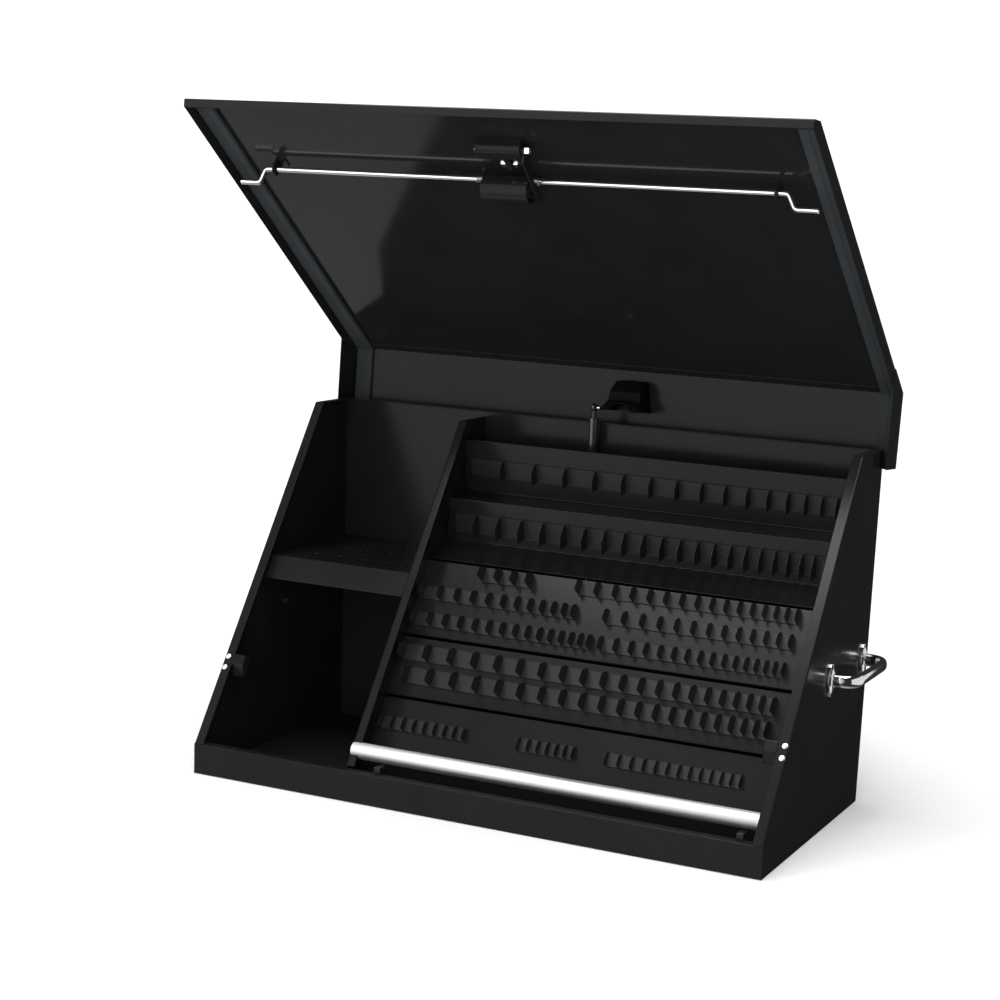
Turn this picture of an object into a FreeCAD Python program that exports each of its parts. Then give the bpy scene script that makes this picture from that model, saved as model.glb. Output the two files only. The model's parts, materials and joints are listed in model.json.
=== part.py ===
import FreeCAD, Part
import math
import os

# Portable slant-front top tool chest in black powder-coated sheet steel, shown with its lid open.
# Frame: X to the right of someone facing the front, Y to the back, Z up, origin at the middle of the
# box's footprint on the surface it stands on. All lengths are in millimetres, all angles in degrees.

# Box
BOX_WIDTH = 914.0
BOX_DEPTH = 432.0
BOX_HEIGHT = 540.0
LIP_HEIGHT = 47.0
TOP_DEPTH = 101.0
SHEET = 1.5
LAND_WIDTH = 16.0
TOUCH_GAP = 0.3

# Lid
LID_SIDE_STEP = 10.0
LID_TOP_GAP = 9.0
LID_FRONT_GAP = 10.5
LID_REAR_GAP = 5.5
LID_OVERHANG = 12.19
LID_FLANGE = 23.0
CAP_PLATE_HEIGHT = 55.0
NOSE_HEIGHT = 24.5
NOSE_RETURN = 12.0
CAP_LAP = 14.0
LID_OPEN_ANGLE = 94.0
SEAL_WIDTH = 29.0

# Hinge
HINGE_DROP = 27.0
HINGE_STAND_OFF = 3.2
HINGE_PIN_RADIUS = 1.5
HINGE_KNUCKLE_RADIUS = 3.0
HINGE_FIT = 0.05
HINGE_LEAF = 1.2
HINGE_LEAF_WIDTH = 23.0
HINGE_END_GAP = 17.0
HINGE_KNUCKLES = 22
KNUCKLE_GAP = 0.6
RIVET_RADIUS = 3.0
RIVET_HEIGHT = 1.4
RIVET_COUNT = 8

# Inside of the box
DIVIDER_X = -201.0
DIVIDER_SET_BACK = 12.5
DIVIDER_TOP_GAP = 9.0
DIVIDER_FLANGE = 14.0
DIVIDER_FOLD_RISE = 61.81
SHELF_DROP = 229.0
SHELF_FRONT_Y = -19.0
SHELF_LIP = 40.0
SHELF_HEM = 3.0
SHELF_HOLE_RADIUS = 7.0
SHELF_HOLE_ROWS = 3
SHELF_HOLE_COLUMNS = 6
TIER_DEPTH = 60.0
TIER_TOP = 222.0
UPPER_TIER_LENGTH = 126.0
MIDDLE_TIER_LENGTH = 100.0
TIER_FOOT_RISE = 53.81
TIER_LIP = 8.0
TIER_LAP_GAP = 3.0
RACK_LEAN = 10.0
RACK_TOP_DROP = 39.0
RACK_TOP_FORWARD = 70.0
RACK_STEP_DROP = 122.0
RACK_STEP_FORWARD = 118.0
RACK_FOOT_DROP = 194.0
FIN_THICKNESS = 1.2
FIN_BASE = 1.5
FIN_LENGTH = 22.0
FIN_HEIGHT = 22.0
FIN_TALL = 26.0
FIN_SHORT = 20.0
FIN_LOW = 14.0
FIN_ROW_START = 14.0
FIN_ROW_PITCH = 40.0
FIN_ROW_END = 28.0
COMB_GAP_X = 108.0
REAR_RACK_FIN_LENGTH = 28.0
REAR_RACK_FIN_HEIGHT = 20.0
FRONT_RACK_FIN_LENGTH = 32.0
FRONT_RACK_FIN_HEIGHT = 24.0
RACK_FIN_REACH = 30.0
BAR_RADIUS = 12.5
BAR_FROM_FOOT = 39.81
BAR_DEPTH = 20.0
BAR_WALL = 1.5
BAR_TAB_WIDTH = 10.0
BAR_TAB_LEFT_INSET = 56.0
BAR_TAB_RIGHT_INSET = 36.5

# Catches on the seal lands
CATCH_ABOVE_ROD = 38.0
CATCH_LENGTH = 30.0
CATCH_WIDTH = 20.0
CATCH_DEPTH = 17.2
CATCH_WALL = 2.0
CATCH_SCREW_RADIUS = 2.5
CATCH_SCREW_HEAD = 4.6
CATCH_SCREW_RISE = 1.5
CATCH_SCREW_SPACING = 18.0

# Side handles
HANDLE_Z = 228.0
HANDLE_FROM_BACK = 26.0
HANDLE_SPAN = 158.0
HANDLE_REACH = 44.0
HANDLE_BEND = 24.0
HANDLE_BAR_HEIGHT = 19.0
HANDLE_BAR_DEPTH = 13.0
HANDLE_FOOT_HEIGHT = 50.0
HANDLE_FOOT_WIDTH = 26.0
HANDLE_FOOT_THICKNESS = 6.0
HANDLE_BOLT_RADIUS = 3.0

# Latch rod and its mechanism, placed along and below the lid's front panel
ROD_RADIUS = 4.0
ROD_FROM_EDGE = 126.0
ROD_BELOW = 16.5
ROD_END_GAP = 12.5
ROD_TIP_LENGTH = 47.0
CRANK_REACH = 20.0
CRANK_ANGLE = 52.0
CRANK_BEND = 8.0
GUIDE_FROM_BEND = 12.0
GUIDE_THICKNESS = 3.0
ROD_FIT = 0.1
LEVER_LEFT_X = -42.0
LEVER_RIGHT_X = 29.0
LEVER_RADIUS = 16.0
LEVER_WALL = 2.5
LEVER_BOSS_RADIUS = 7.5
SPRING_WIRE = 0.9
SPRING_RADIUS = 5.4
SPRING_TURNS = 4.5
SPRING_PITCH = 2.4
SPRING_LEG = 12.0
ROCKER_BELOW_ROD = 59.0
ROCKER_BELOW = 12.0
ROCKER_HUB_RADIUS = 6.5
ROCKER_PIN_RADIUS = 4.0
ROCKER_PLATE = 3.0
BRACKET_LEFT_X = -33.0
BRACKET_RIGHT_X = 35.0
BRACKET_SHEET = 2.0
BRACKET_DEPTH = 22.0
PIN_NUT_ACROSS = 13.0
PIN_NUT_THICKNESS = 6.5
BUTTON_X = 6.75
BUTTON_BELOW_ROD = 32.0
BUTTON_RADIUS = 12.0
BUTTON_THICKNESS = 5.0
BUTTON_TRAVEL = 3.6
BEZEL_RADIUS = 21.0
BEZEL_BASE = 1.2
STEM_RADIUS = 5.0
STEM_END = 15.0
STEM_BOLT_RADIUS = 2.5
STEM_BOLT_BELOW = 10.0
STEM_BOLT_ACROSS = 13.0
STEM_BOLT_HEAD = 7.0
LOCK_CORE_RADIUS = 6.5

# Gas strut
STRUT_X = -2.0
STRUT_TOP_FORWARD = 21.0
STRUT_TOP_RISE = 24.0
STRUT_FOOT_FORWARD = 16.0
STRUT_FOOT_DROP = 250.0
STRUT_TUBE_RADIUS = 7.5
STRUT_TUBE_LENGTH = 118.0
STRUT_ROD_RADIUS = 3.0
STRUT_SOCKET_RADIUS = 6.5
STRUT_NECK_LENGTH = 16.0
BALL_RADIUS = 4.0
STUD_RADIUS = 2.5
STRUT_SIDE_GAP = 1.0
BRACKET_WIDTH = 62.0
BRACKET_WALL = 2.0
FOOT_PLATE_HEIGHT = 28.0
FOOT_PLATE_WIDTH = 24.0

HALF = BOX_WIDTH / 2.0
BACK = BOX_DEPTH / 2.0
INNER = HALF - SHEET
LID_HALF = HALF + LID_SIDE_STEP
HINGE_LENGTH = BOX_WIDTH - 2 * HINGE_END_GAP


def prism(points, x0, x1):
    """A flat outline in the YZ plane, carried along X from x0 to x1."""
    corners = [FreeCAD.Vector(x0, y, z) for y, z in points]
    face = Part.Face(Part.makePolygon(corners + corners[:1]))
    return face.extrude(FreeCAD.Vector(x1 - x0, 0.0, 0.0))


def block(x0, x1, y0, y1, z0, z1):
    """A straight-sided block between two corners."""
    return Part.makeBox(x1 - x0, y1 - y0, z1 - z0, FreeCAD.Vector(x0, y0, z0))


def rod_x(y, z, radius, x0, x1):
    """A round bar along X."""
    return Part.makeCylinder(radius, x1 - x0, FreeCAD.Vector(x0, y, z), FreeCAD.Vector(1, 0, 0))


def join(shapes):
    """One solid out of shapes that share volume or faces."""
    result = shapes[0]
    for shape in shapes[1:]:
        result = result.fuse(shape)
    return result.removeSplitter()


def mirrored(shape):
    """The same piece on the other side of the middle plane."""
    return shape.mirror(FreeCAD.Vector(0, 0, 0), FreeCAD.Vector(1, 0, 0))


# The slanted front of the box: a point is given by its distance along the slope from the top corner
# and its depth square to the slope, into the box.
SLOPE_TOP = (BACK - TOP_DEPTH, BOX_HEIGHT)
SLOPE_RISE = BOX_HEIGHT - LIP_HEIGHT
SLOPE_RUN = BOX_DEPTH - TOP_DEPTH
SLOPE_LENGTH = math.hypot(SLOPE_RISE, SLOPE_RUN)
LID_FRONT_LENGTH = SLOPE_LENGTH + LID_OVERHANG
DOWN = (-SLOPE_RUN / SLOPE_LENGTH, -SLOPE_RISE / SLOPE_LENGTH)
INTO = (SLOPE_RISE / SLOPE_LENGTH, -SLOPE_RUN / SLOPE_LENGTH)


def slope(along, depth):
    """The (y, z) of a point on the box's slanted front."""
    return (SLOPE_TOP[0] + along * DOWN[0] + depth * INTO[0],
            SLOPE_TOP[1] + along * DOWN[1] + depth * INTO[1])


# What hangs from the box's top edge, and what is measured up from the slope's foot or the lid's free edge
SHELF_HEIGHT = BOX_HEIGHT - SHELF_DROP
RACK_TOP_Z = BOX_HEIGHT - RACK_TOP_DROP
RACK_TOP_Y = BACK - RACK_TOP_FORWARD
RACK_STEP_Z = BOX_HEIGHT - RACK_STEP_DROP
RACK_STEP_Y = BACK - RACK_STEP_FORWARD
RACK_FOOT_Z = BOX_HEIGHT - RACK_FOOT_DROP
TIER_STEP_ONE = TIER_TOP + UPPER_TIER_LENGTH
TIER_STEP_TWO = TIER_STEP_ONE + MIDDLE_TIER_LENGTH
TIER_FOOT = SLOPE_LENGTH - TIER_FOOT_RISE
BAR_ALONG = SLOPE_LENGTH - BAR_FROM_FOOT
DIVIDER_FOLD_END = SLOPE_LENGTH - DIVIDER_FOLD_RISE
ROD_ALONG = LID_FRONT_LENGTH - ROD_FROM_EDGE
ROD_TIP_END = INNER - ROD_END_GAP
ROD_STRAIGHT = ROD_TIP_END - ROD_TIP_LENGTH
GUIDE_X = ROD_STRAIGHT - GUIDE_FROM_BEND
CATCH_ALONG = ROD_ALONG - CATCH_ABOVE_ROD
ROCKER_ALONG = ROD_ALONG + ROCKER_BELOW_ROD
BUTTON_ALONG = ROD_ALONG + BUTTON_BELOW_ROD

# The lid, drawn shut: the knee is where the front panel's outer face meets the top panel's.
LID_TOP_Z = BOX_HEIGHT + LID_TOP_GAP
KNEE_ALONG = -(LID_TOP_GAP - LID_FRONT_GAP * -INTO[1]) / -DOWN[1]
KNEE = slope(KNEE_ALONG, -LID_FRONT_GAP)
HINGE_Y = BACK + HINGE_STAND_OFF
HINGE_Z = BOX_HEIGHT - HINGE_DROP


def front(along, below):
    """The (y, z) of a point on the shut lid's front panel: distance from the knee, depth below its face."""
    return (KNEE[0] + along * DOWN[0] + below * INTO[0], KNEE[1] + along * DOWN[1] + below * INTO[1])


def front_at(z, below):
    """The point at height z on a line that runs below the lid's front panel."""
    return front((KNEE[1] + below * INTO[1] - z) / -DOWN[1], below)


def opened(shape):
    """Swings a piece of the shut lid to where it stands open."""
    turned = shape.copy()
    turned.rotate(FreeCAD.Vector(0, HINGE_Y, HINGE_Z), FreeCAD.Vector(1, 0, 0), -LID_OPEN_ANGLE)
    return turned


def opened_point(point):
    """The (y, z) of a shut lid's point once the lid stands open."""
    turn = math.radians(LID_OPEN_ANGLE)
    y, z = point[0] - HINGE_Y, point[1] - HINGE_Z
    return (HINGE_Y + math.cos(turn) * y + math.sin(turn) * z,
            HINGE_Z - math.sin(turn) * y + math.cos(turn) * z)


nodes = {}

# Side panels, each a plate with an inward land along the slope and the top for the lid's seal
SIDE_OUTLINE = [(BACK, 0.0), (-BACK, 0.0), (-BACK, LIP_HEIGHT), SLOPE_TOP, (BACK, BOX_HEIGHT)]


def side_panel():
    """The right-hand side panel."""
    plate = prism(SIDE_OUTLINE, INNER, HALF)
    land = prism([slope(0, 0), slope(SLOPE_LENGTH, 0), slope(SLOPE_LENGTH, SHEET), slope(0, SHEET)],
                 HALF - LAND_WIDTH, INNER + SHEET / 2)
    land = land.common(block(0, HALF, -BACK, BACK, LIP_HEIGHT, BOX_HEIGHT))
    top = block(HALF - LAND_WIDTH, INNER + SHEET / 2, SLOPE_TOP[0], BACK - SHEET,
                BOX_HEIGHT - SHEET, BOX_HEIGHT)
    return join([plate, land, top])


right_side = side_panel()
catch_middle = CATCH_ALONG + CATCH_LENGTH / 2
screw_x = HALF - LAND_WIDTH / 2 + 2.0


def across_land(along, radius, depth0, depth1, x):
    """A round pin square to the slope."""
    y, z = slope(along, depth0)
    direction = FreeCAD.Vector(0, INTO[0], INTO[1])
    return Part.makeCylinder(radius, depth1 - depth0, FreeCAD.Vector(x, y, z), direction)


screw_places = [catch_middle - CATCH_SCREW_SPACING / 2, catch_middle + CATCH_SCREW_SPACING / 2]
for place in screw_places:
    right_side = right_side.cut(across_land(place, CATCH_SCREW_RADIUS + ROD_FIT, -1, 3, screw_x))
foot_places = [BACK - HANDLE_FROM_BACK - HANDLE_SPAN, BACK - HANDLE_FROM_BACK]
for foot_y in foot_places:
    right_side = right_side.cut(rod_x(foot_y, HANDLE_Z, HANDLE_BOLT_RADIUS + ROD_FIT, INNER - 1, HALF + 1))
nodes["right_side_panel"] = right_side
nodes["left_side_panel"] = mirrored(right_side)

# Back panel with a stiffening fold along its top
back_sheet = block(-INNER, INNER, BACK - SHEET, BACK, 0.0, BOX_HEIGHT)
back_fold = block(-HALF + LAND_WIDTH, HALF - LAND_WIDTH, BACK - 10.0, BACK - SHEET / 2,
                  BOX_HEIGHT - SHEET, BOX_HEIGHT)
nodes["back_panel"] = join([back_sheet, back_fold])

# Floor pan: floor, upright front lip and its fold
floor_sheet = block(-INNER, INNER, -BACK, BACK - SHEET, 0.0, SHEET)
lip_wall = block(-INNER, INNER, -BACK, -BACK + SHEET, 0.0, LIP_HEIGHT)
lip_fold = block(-INNER, INNER, -BACK, -BACK + LAND_WIDTH, LIP_HEIGHT - SHEET, LIP_HEIGHT)
nodes["floor_pan"] = join([floor_sheet, lip_wall, lip_fold])

# Divider between the two compartments, its front edge folded to the right
DIVIDER_RIGHT = DIVIDER_X + SHEET
divider_top = BOX_HEIGHT - DIVIDER_TOP_GAP
divider_foot = LIP_HEIGHT + 3.0


def slope_at(z, depth):
    """The point at height z on a line that runs at some depth behind the slope."""
    return slope((SLOPE_TOP[1] + depth * INTO[1] - z) / -DOWN[1], depth)


fold_clear = -BACK + LAND_WIDTH + 2.0
divider_sheet = prism([(BACK - SHEET, SHEET), (BACK - SHEET, divider_top),
                       slope_at(divider_top, DIVIDER_SET_BACK), slope_at(divider_foot, DIVIDER_SET_BACK),
                       (fold_clear, divider_foot), (fold_clear, SHEET)], DIVIDER_X, DIVIDER_RIGHT)
divider_fold = prism([slope_at(divider_top, DIVIDER_SET_BACK), slope(DIVIDER_FOLD_END, DIVIDER_SET_BACK),
                      slope(DIVIDER_FOLD_END, DIVIDER_SET_BACK + SHEET),
                      slope_at(divider_top, DIVIDER_SET_BACK + SHEET)],
                     DIVIDER_X, DIVIDER_X + DIVIDER_FLANGE)
nodes["divider"] = join([divider_sheet, divider_fold])

# Shelf in the left-hand compartment: a holed plate with a deep front lip that hangs parallel to the slope
shelf_underside = SHELF_HEIGHT - SHEET
shelf = block(-INNER, DIVIDER_X, SHELF_FRONT_Y, BACK - SHEET, shelf_underside, SHELF_HEIGHT)
hem_y = SHELF_FRONT_Y + SHELF_LIP * DOWN[0]
hem_z = SHELF_HEIGHT + SHELF_LIP * DOWN[1]
shelf_lip = prism([(SHELF_FRONT_Y, SHELF_HEIGHT), (hem_y, hem_z), (hem_y + SHEET, hem_z - SHEET / 2),
                   (SHELF_FRONT_Y + SHEET, shelf_underside)], -INNER, DIVIDER_X)
shelf_hem = block(-INNER, DIVIDER_X, hem_y, hem_y + SHELF_HEM, hem_z - SHEET, hem_z)
shelf = join([shelf, shelf_lip, shelf_hem])
shelf_holes = []
bay = DIVIDER_X + INNER
for row in range(SHELF_HOLE_ROWS):
    for column in range(SHELF_HOLE_COLUMNS):
        hole_x = -INNER + bay * (column + 0.5 + 0.2 * (row % 2 - 0.5)) / SHELF_HOLE_COLUMNS
        hole_y = SHELF_FRONT_Y + (BACK - SHELF_FRONT_Y) * (row + 0.6) / (SHELF_HOLE_ROWS + 0.3)
        shelf_holes.append((hole_x, hole_y))
        shelf = shelf.cut(Part.makeCylinder(SHELF_HOLE_RADIUS, 3 * SHEET,
                                            FreeCAD.Vector(hole_x, hole_y, shelf_underside - SHEET)))
nodes["holed_shelf"] = shelf

# Stepped rack at the back of the right-hand compartment: one sheet folded into two leaning steps
lean = math.tan(math.radians(RACK_LEAN))
tier_top_point = slope(TIER_TOP, TIER_DEPTH)
rack_points = [(RACK_TOP_Y, RACK_TOP_Z),
               (RACK_TOP_Y + lean * (RACK_TOP_Z - RACK_STEP_Z), RACK_STEP_Z),
               (RACK_STEP_Y, RACK_STEP_Z - 4.0),
               (RACK_STEP_Y + lean * (RACK_STEP_Z - 4.0 - RACK_FOOT_Z), RACK_FOOT_Z),
               (tier_top_point[0] + 4.0, tier_top_point[1] + 4.0)]


def bent_sheet(points, x0, x1, wall):
    """A folded sheet: a line of points, thickened to its left-hand side, with mitred folds."""
    offsets = []
    for i in range(len(points)):
        legs = []
        if i > 0:
            legs.append((points[i][0] - points[i - 1][0], points[i][1] - points[i - 1][1]))
        if i < len(points) - 1:
            legs.append((points[i + 1][0] - points[i][0], points[i + 1][1] - points[i][1]))
        normals = []
        for dy, dz in legs:
            length = math.hypot(dy, dz)
            normals.append((-dz / length, dy / length))
        ny = sum(n[0] for n in normals) / len(normals)
        nz = sum(n[1] for n in normals) / len(normals)
        scale = wall / (ny * ny + nz * nz)
        offsets.append((points[i][0] + ny * scale, points[i][1] + nz * scale))
    return prism(points + offsets[::-1], x0, x1)


nodes["stepped_rack"] = bent_sheet(rack_points, DIVIDER_RIGHT, INNER, SHEET)


def comb(origin, run, out, x_places, length, height):
    """A holder: a base strip with upright fins. run and out are unit (y, z) directions."""
    def corner(along, up):
        return (origin[0] + along * run[0] + up * out[0], origin[1] + along * run[1] + up * out[1])
    base = prism([corner(0, 0), corner(length, 0), corner(length, FIN_BASE), corner(0, FIN_BASE)],
                 x_places[0] - FIN_THICKNESS, x_places[-1] + FIN_THICKNESS)
    pieces = [base]
    for x in x_places:
        fin = prism([corner(0, 0), corner(length, 0), corner(length, height * 0.45),
                     corner(length * 0.62, height), corner(0, height)],
                    x - FIN_THICKNESS / 2, x + FIN_THICKNESS / 2)
        pieces.append(fin)
    return join(pieces)


def places(x0, x1, count, shrink):
    """Fin places from x0 to x1, whose spacing shrinks evenly from left to right."""
    steps = [1.0 - shrink * i / (count - 1) for i in range(count)]
    total = sum(steps)
    result = [x0]
    for step in steps:
        result.append(result[-1] + (x1 - x0) * step / total)
    return result


LEFT_END = DIVIDER_RIGHT + 10.0
RIGHT_END = HALF - LAND_WIDTH - 36.0
UP_SLOPE = (-DOWN[0], -DOWN[1])
OUTWARD = (-INTO[0], -INTO[1])
rack_up = (-math.sin(math.radians(RACK_LEAN)), math.cos(math.radians(RACK_LEAN)))
rack_out = (-rack_up[1], rack_up[0])


def rack_comb(foot, x_places, length, height):
    """A comb that stands up a rack step's leaning back."""
    return comb((foot[0] + rack_out[0] * TOUCH_GAP, foot[1] + rack_out[1] * TOUCH_GAP),
                rack_up, rack_out, x_places, length, height)


rear_foot = (rack_points[1][0] - lean * 26.0, rack_points[1][1] + 26.0)
front_foot = (rack_points[3][0] - lean * 14.0, rack_points[3][1] + 14.0)
nodes["rear_rack_fins"] = rack_comb(rear_foot, places(LEFT_END, RIGHT_END + RACK_FIN_REACH, 16, 0.65),
                                    REAR_RACK_FIN_LENGTH, REAR_RACK_FIN_HEIGHT)
nodes["front_rack_fins"] = rack_comb(front_foot, places(LEFT_END, RIGHT_END + RACK_FIN_REACH, 22, 0.6),
                                     FRONT_RACK_FIN_LENGTH, FRONT_RACK_FIN_HEIGHT)

# Tiers: three sheets parallel to the slope, one above the other, each with a lip along its lower edge
def tier(along0, along1, depth0, depth1, tail=None):
    """One tier's section from its upper edge to the lip along its lower edge."""
    points = [slope(along0, depth0), slope(along1, depth1), slope(along1, depth1 - TIER_LIP)]
    if tail:
        points = [slope(along0, depth0), slope(along1, depth1)] + tail
    return bent_sheet(points[::-1], DIVIDER_RIGHT, INNER, SHEET)


nodes["upper_tier"] = tier(TIER_TOP, TIER_STEP_ONE, TIER_DEPTH, TIER_DEPTH)
nodes["middle_tier"] = tier(TIER_STEP_ONE + TIER_LAP_GAP, TIER_STEP_TWO, TIER_DEPTH, TIER_DEPTH)
foot_point = slope(TIER_FOOT, TIER_DEPTH)
nodes["lower_tier"] = tier(TIER_STEP_TWO + TIER_LAP_GAP, TIER_FOOT, TIER_DEPTH, TIER_DEPTH,
                                  [(foot_point[0], SHEET)])


def tier_comb(along, x0, x1, count, shrink, length=FIN_LENGTH, height=FIN_HEIGHT):
    """A comb of fins lying on a tier, its fins square to the slope."""
    origin = slope(along + length / 2, TIER_DEPTH - SHEET - TOUCH_GAP)
    return comb(origin, UP_SLOPE, OUTWARD, places(x0, x1, count, shrink), length, height)


# The rows of the upper tier leave a gap between a left-hand and a right-hand comb
first_row = TIER_TOP + FIN_ROW_START
second_row = first_row + FIN_ROW_PITCH
third_row = TIER_STEP_ONE - FIN_ROW_END
nodes["upper_tier_fins"] = Part.makeCompound([
    tier_comb(first_row, LEFT_END + 90.0, LEFT_END + 170.0, 3, 0.1, FIN_LENGTH, FIN_TALL),
    tier_comb(first_row, COMB_GAP_X - 46.0, RIGHT_END, 15, 0.5),
    tier_comb(second_row, LEFT_END, COMB_GAP_X - 42.0, 11, 0.5),
    tier_comb(second_row, COMB_GAP_X + 10.0, RIGHT_END, 12, 0.4),
    tier_comb(third_row, LEFT_END, COMB_GAP_X - 4.0, 14, 0.5),
    tier_comb(third_row, COMB_GAP_X + 14.0, RIGHT_END, 15, 0.5)])
fourth_row = TIER_STEP_ONE + FIN_ROW_END
fifth_row = TIER_STEP_TWO - FIN_ROW_END - 7.0
nodes["middle_tier_fins"] = Part.makeCompound([
    tier_comb(fourth_row, LEFT_END, RIGHT_END, 20, 0.6, FIN_TALL, FIN_TALL),
    tier_comb(fifth_row, LEFT_END + 18.0, RIGHT_END, 20, 0.6, FIN_TALL, FIN_TALL)])
last_row = (TIER_STEP_TWO + TIER_FOOT) / 2 - 2.0
nodes["lower_tier_fins"] = Part.makeCompound([
    tier_comb(last_row, LEFT_END, LEFT_END + 140.0, 8, 0.2, FIN_SHORT, FIN_LOW),
    tier_comb(last_row, COMB_GAP_X - 68.0, COMB_GAP_X + 20.0, 6, 0.2, FIN_SHORT, FIN_LOW),
    tier_comb(last_row, COMB_GAP_X + 72.0, RIGHT_END - 20.0, 12, 0.3, FIN_SHORT, FIN_LOW)])

# Front bar: a round tube across the foot of the right-hand compartment, on two small tabs
bar_y, bar_z = slope(BAR_ALONG, BAR_DEPTH)
bar = rod_x(bar_y, bar_z, BAR_RADIUS, DIVIDER_RIGHT, INNER)
nodes["front_bar"] = bar.cut(rod_x(bar_y, bar_z, BAR_RADIUS - BAR_WALL, DIVIDER_RIGHT - 1, INNER + 1))
tab_top = bar_z - BAR_RADIUS
tab_front = -BACK + LAND_WIDTH - 5.0
tabs = []
for tab_x in (DIVIDER_X + BAR_TAB_LEFT_INSET, INNER - BAR_TAB_RIGHT_INSET):
    tab_left = tab_x - BAR_TAB_WIDTH / 2
    tab_right = tab_x + BAR_TAB_WIDTH / 2
    leg = block(tab_left, tab_right, tab_front, tab_front + SHEET, LIP_HEIGHT, tab_top)
    shelf_leg = block(tab_left, tab_right, tab_front, bar_y + 3.0, tab_top - SHEET, tab_top)
    tabs.append(join([leg, shelf_leg]))
nodes["bar_tabs"] = Part.makeCompound(tabs)

# Catches: bent blocks behind the seal lands that the rod's tips hook under, and their screws
CATCH_END = CATCH_ALONG + CATCH_LENGTH
CATCH_INNER_X = HALF - LAND_WIDTH - CATCH_WIDTH
catch_outer_x = HALF - LAND_WIDTH - TOUCH_GAP
ramp = 14.0


def catch_section(grow):
    """The catch's outline along the slope, shrunk by grow on every side but the back."""
    return [slope(CATCH_ALONG + grow, grow), slope(CATCH_END - ramp, grow),
            slope(CATCH_END - grow, ramp + grow * 0.4), slope(CATCH_END - grow, CATCH_DEPTH),
            slope(CATCH_ALONG + grow, CATCH_DEPTH)]


catch_body = prism(catch_section(0.0), CATCH_INNER_X, catch_outer_x)
pocket_lines = catch_section(CATCH_WALL)
pocket = prism(pocket_lines[:3] + [slope(CATCH_END - CATCH_WALL, CATCH_DEPTH + 1),
                                   slope(CATCH_ALONG + CATCH_WALL, CATCH_DEPTH + 1)],
               CATCH_INNER_X + CATCH_WALL, HALF)
catch_body = catch_body.cut(pocket)
catch_tab = prism([slope(CATCH_ALONG, SHEET), slope(CATCH_END - ramp, SHEET),
                   slope(CATCH_END - ramp, SHEET + CATCH_WALL), slope(CATCH_ALONG, SHEET + CATCH_WALL)],
                  catch_outer_x - 3.0, INNER - TOUCH_GAP)
catch = join([catch_body, catch_tab])
for place in screw_places:
    catch = catch.cut(across_land(place, CATCH_SCREW_RADIUS + ROD_FIT, -1, 6, screw_x))
nodes["right_catch"] = catch
nodes["left_catch"] = mirrored(catch)
screws = []
for place in screw_places:
    shank = across_land(place, CATCH_SCREW_RADIUS, -0.5, 8.0, screw_x)
    head = across_land(place, CATCH_SCREW_HEAD, -CATCH_SCREW_RISE, 0.0, screw_x)
    head_middle = slope(place, -CATCH_SCREW_RISE / 2)[0]
    rim = [edge for edge in head.Edges if len(edge.Vertexes) == 1 and edge.CenterOfMass.y < head_middle]
    head = head.makeFillet(CATCH_SCREW_RISE * 0.75, rim)
    screws.append(join([shank, head]))
nodes["catch_screws"] = Part.makeCompound(screws + [mirrored(screw) for screw in screws])

# Handles: a plated U-shaped grip on two oval feet, bolted through each side
def oval(x0, x1, y, half_width, half_height):
    """A flat oval foot against the side panel, its long way upright."""
    disc = Part.makeCylinder(1.0, 1.0, FreeCAD.Vector(0, 0, 0), FreeCAD.Vector(1, 0, 0))
    stretch = FreeCAD.Matrix()
    stretch.scale(FreeCAD.Vector(x1 - x0, half_width, half_height))
    disc = disc.transformGeometry(stretch)
    disc.translate(FreeCAD.Vector(x0, y, HANDLE_Z))
    return disc


feet = [oval(HALF, HALF + HANDLE_FOOT_THICKNESS, y, HANDLE_FOOT_WIDTH / 2, HANDLE_FOOT_HEIGHT / 2)
        for y in foot_places]
grip_middle = HALF + HANDLE_REACH - HANDLE_BAR_DEPTH / 2
y0, y1 = foot_places
bend = HANDLE_BEND
path_points = [FreeCAD.Vector(x, y, HANDLE_Z) for x, y in (
    (HALF + 2.0, y0), (grip_middle - bend, y0), (grip_middle, y0 + bend),
    (grip_middle, y1 - bend), (grip_middle - bend, y1), (HALF + 2.0, y1))]
inset = bend * (1.0 - math.sqrt(0.5))
corner_front = FreeCAD.Vector(grip_middle - inset, y0 + inset, HANDLE_Z)
corner_back = FreeCAD.Vector(grip_middle - inset, y1 - inset, HANDLE_Z)
spine = Part.Wire([Part.makeLine(path_points[0], path_points[1]),
                   Part.Arc(path_points[1], corner_front, path_points[2]).toShape(),
                   Part.makeLine(path_points[2], path_points[3]),
                   Part.Arc(path_points[3], corner_back, path_points[4]).toShape(),
                   Part.makeLine(path_points[4], path_points[5])])
section = Part.Ellipse(FreeCAD.Vector(0, 0, 0), HANDLE_BAR_HEIGHT / 2, HANDLE_BAR_DEPTH / 2).toShape()
section.rotate(FreeCAD.Vector(0, 0, 0), FreeCAD.Vector(0, 1, 0), -90.0)
section.translate(path_points[0])
grip = spine.makePipeShell([Part.Wire([section])], True, False)
handle = join(feet + [grip])
for foot_y in foot_places:
    handle = handle.cut(rod_x(foot_y, HANDLE_Z, HANDLE_BOLT_RADIUS + ROD_FIT, HALF - 1, HALF + 12.0))
nodes["right_handle"] = handle
nodes["left_handle"] = mirrored(handle)
bolts = []
for foot_y in foot_places:
    shank = rod_x(foot_y, HANDLE_Z, HANDLE_BOLT_RADIUS, INNER - 1.0, HALF + 11.0)
    head = rod_x(foot_y, HANDLE_Z, HANDLE_BOLT_RADIUS * 2, INNER - 4.0, INNER)
    bolts.append(join([shank, head]))
nodes["handle_bolts"] = Part.makeCompound(bolts + [mirrored(bolt) for bolt in bolts])

# Piano hinge: two leaves with alternating knuckles on one long pin
pitch = HINGE_LENGTH / HINGE_KNUCKLES


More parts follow.
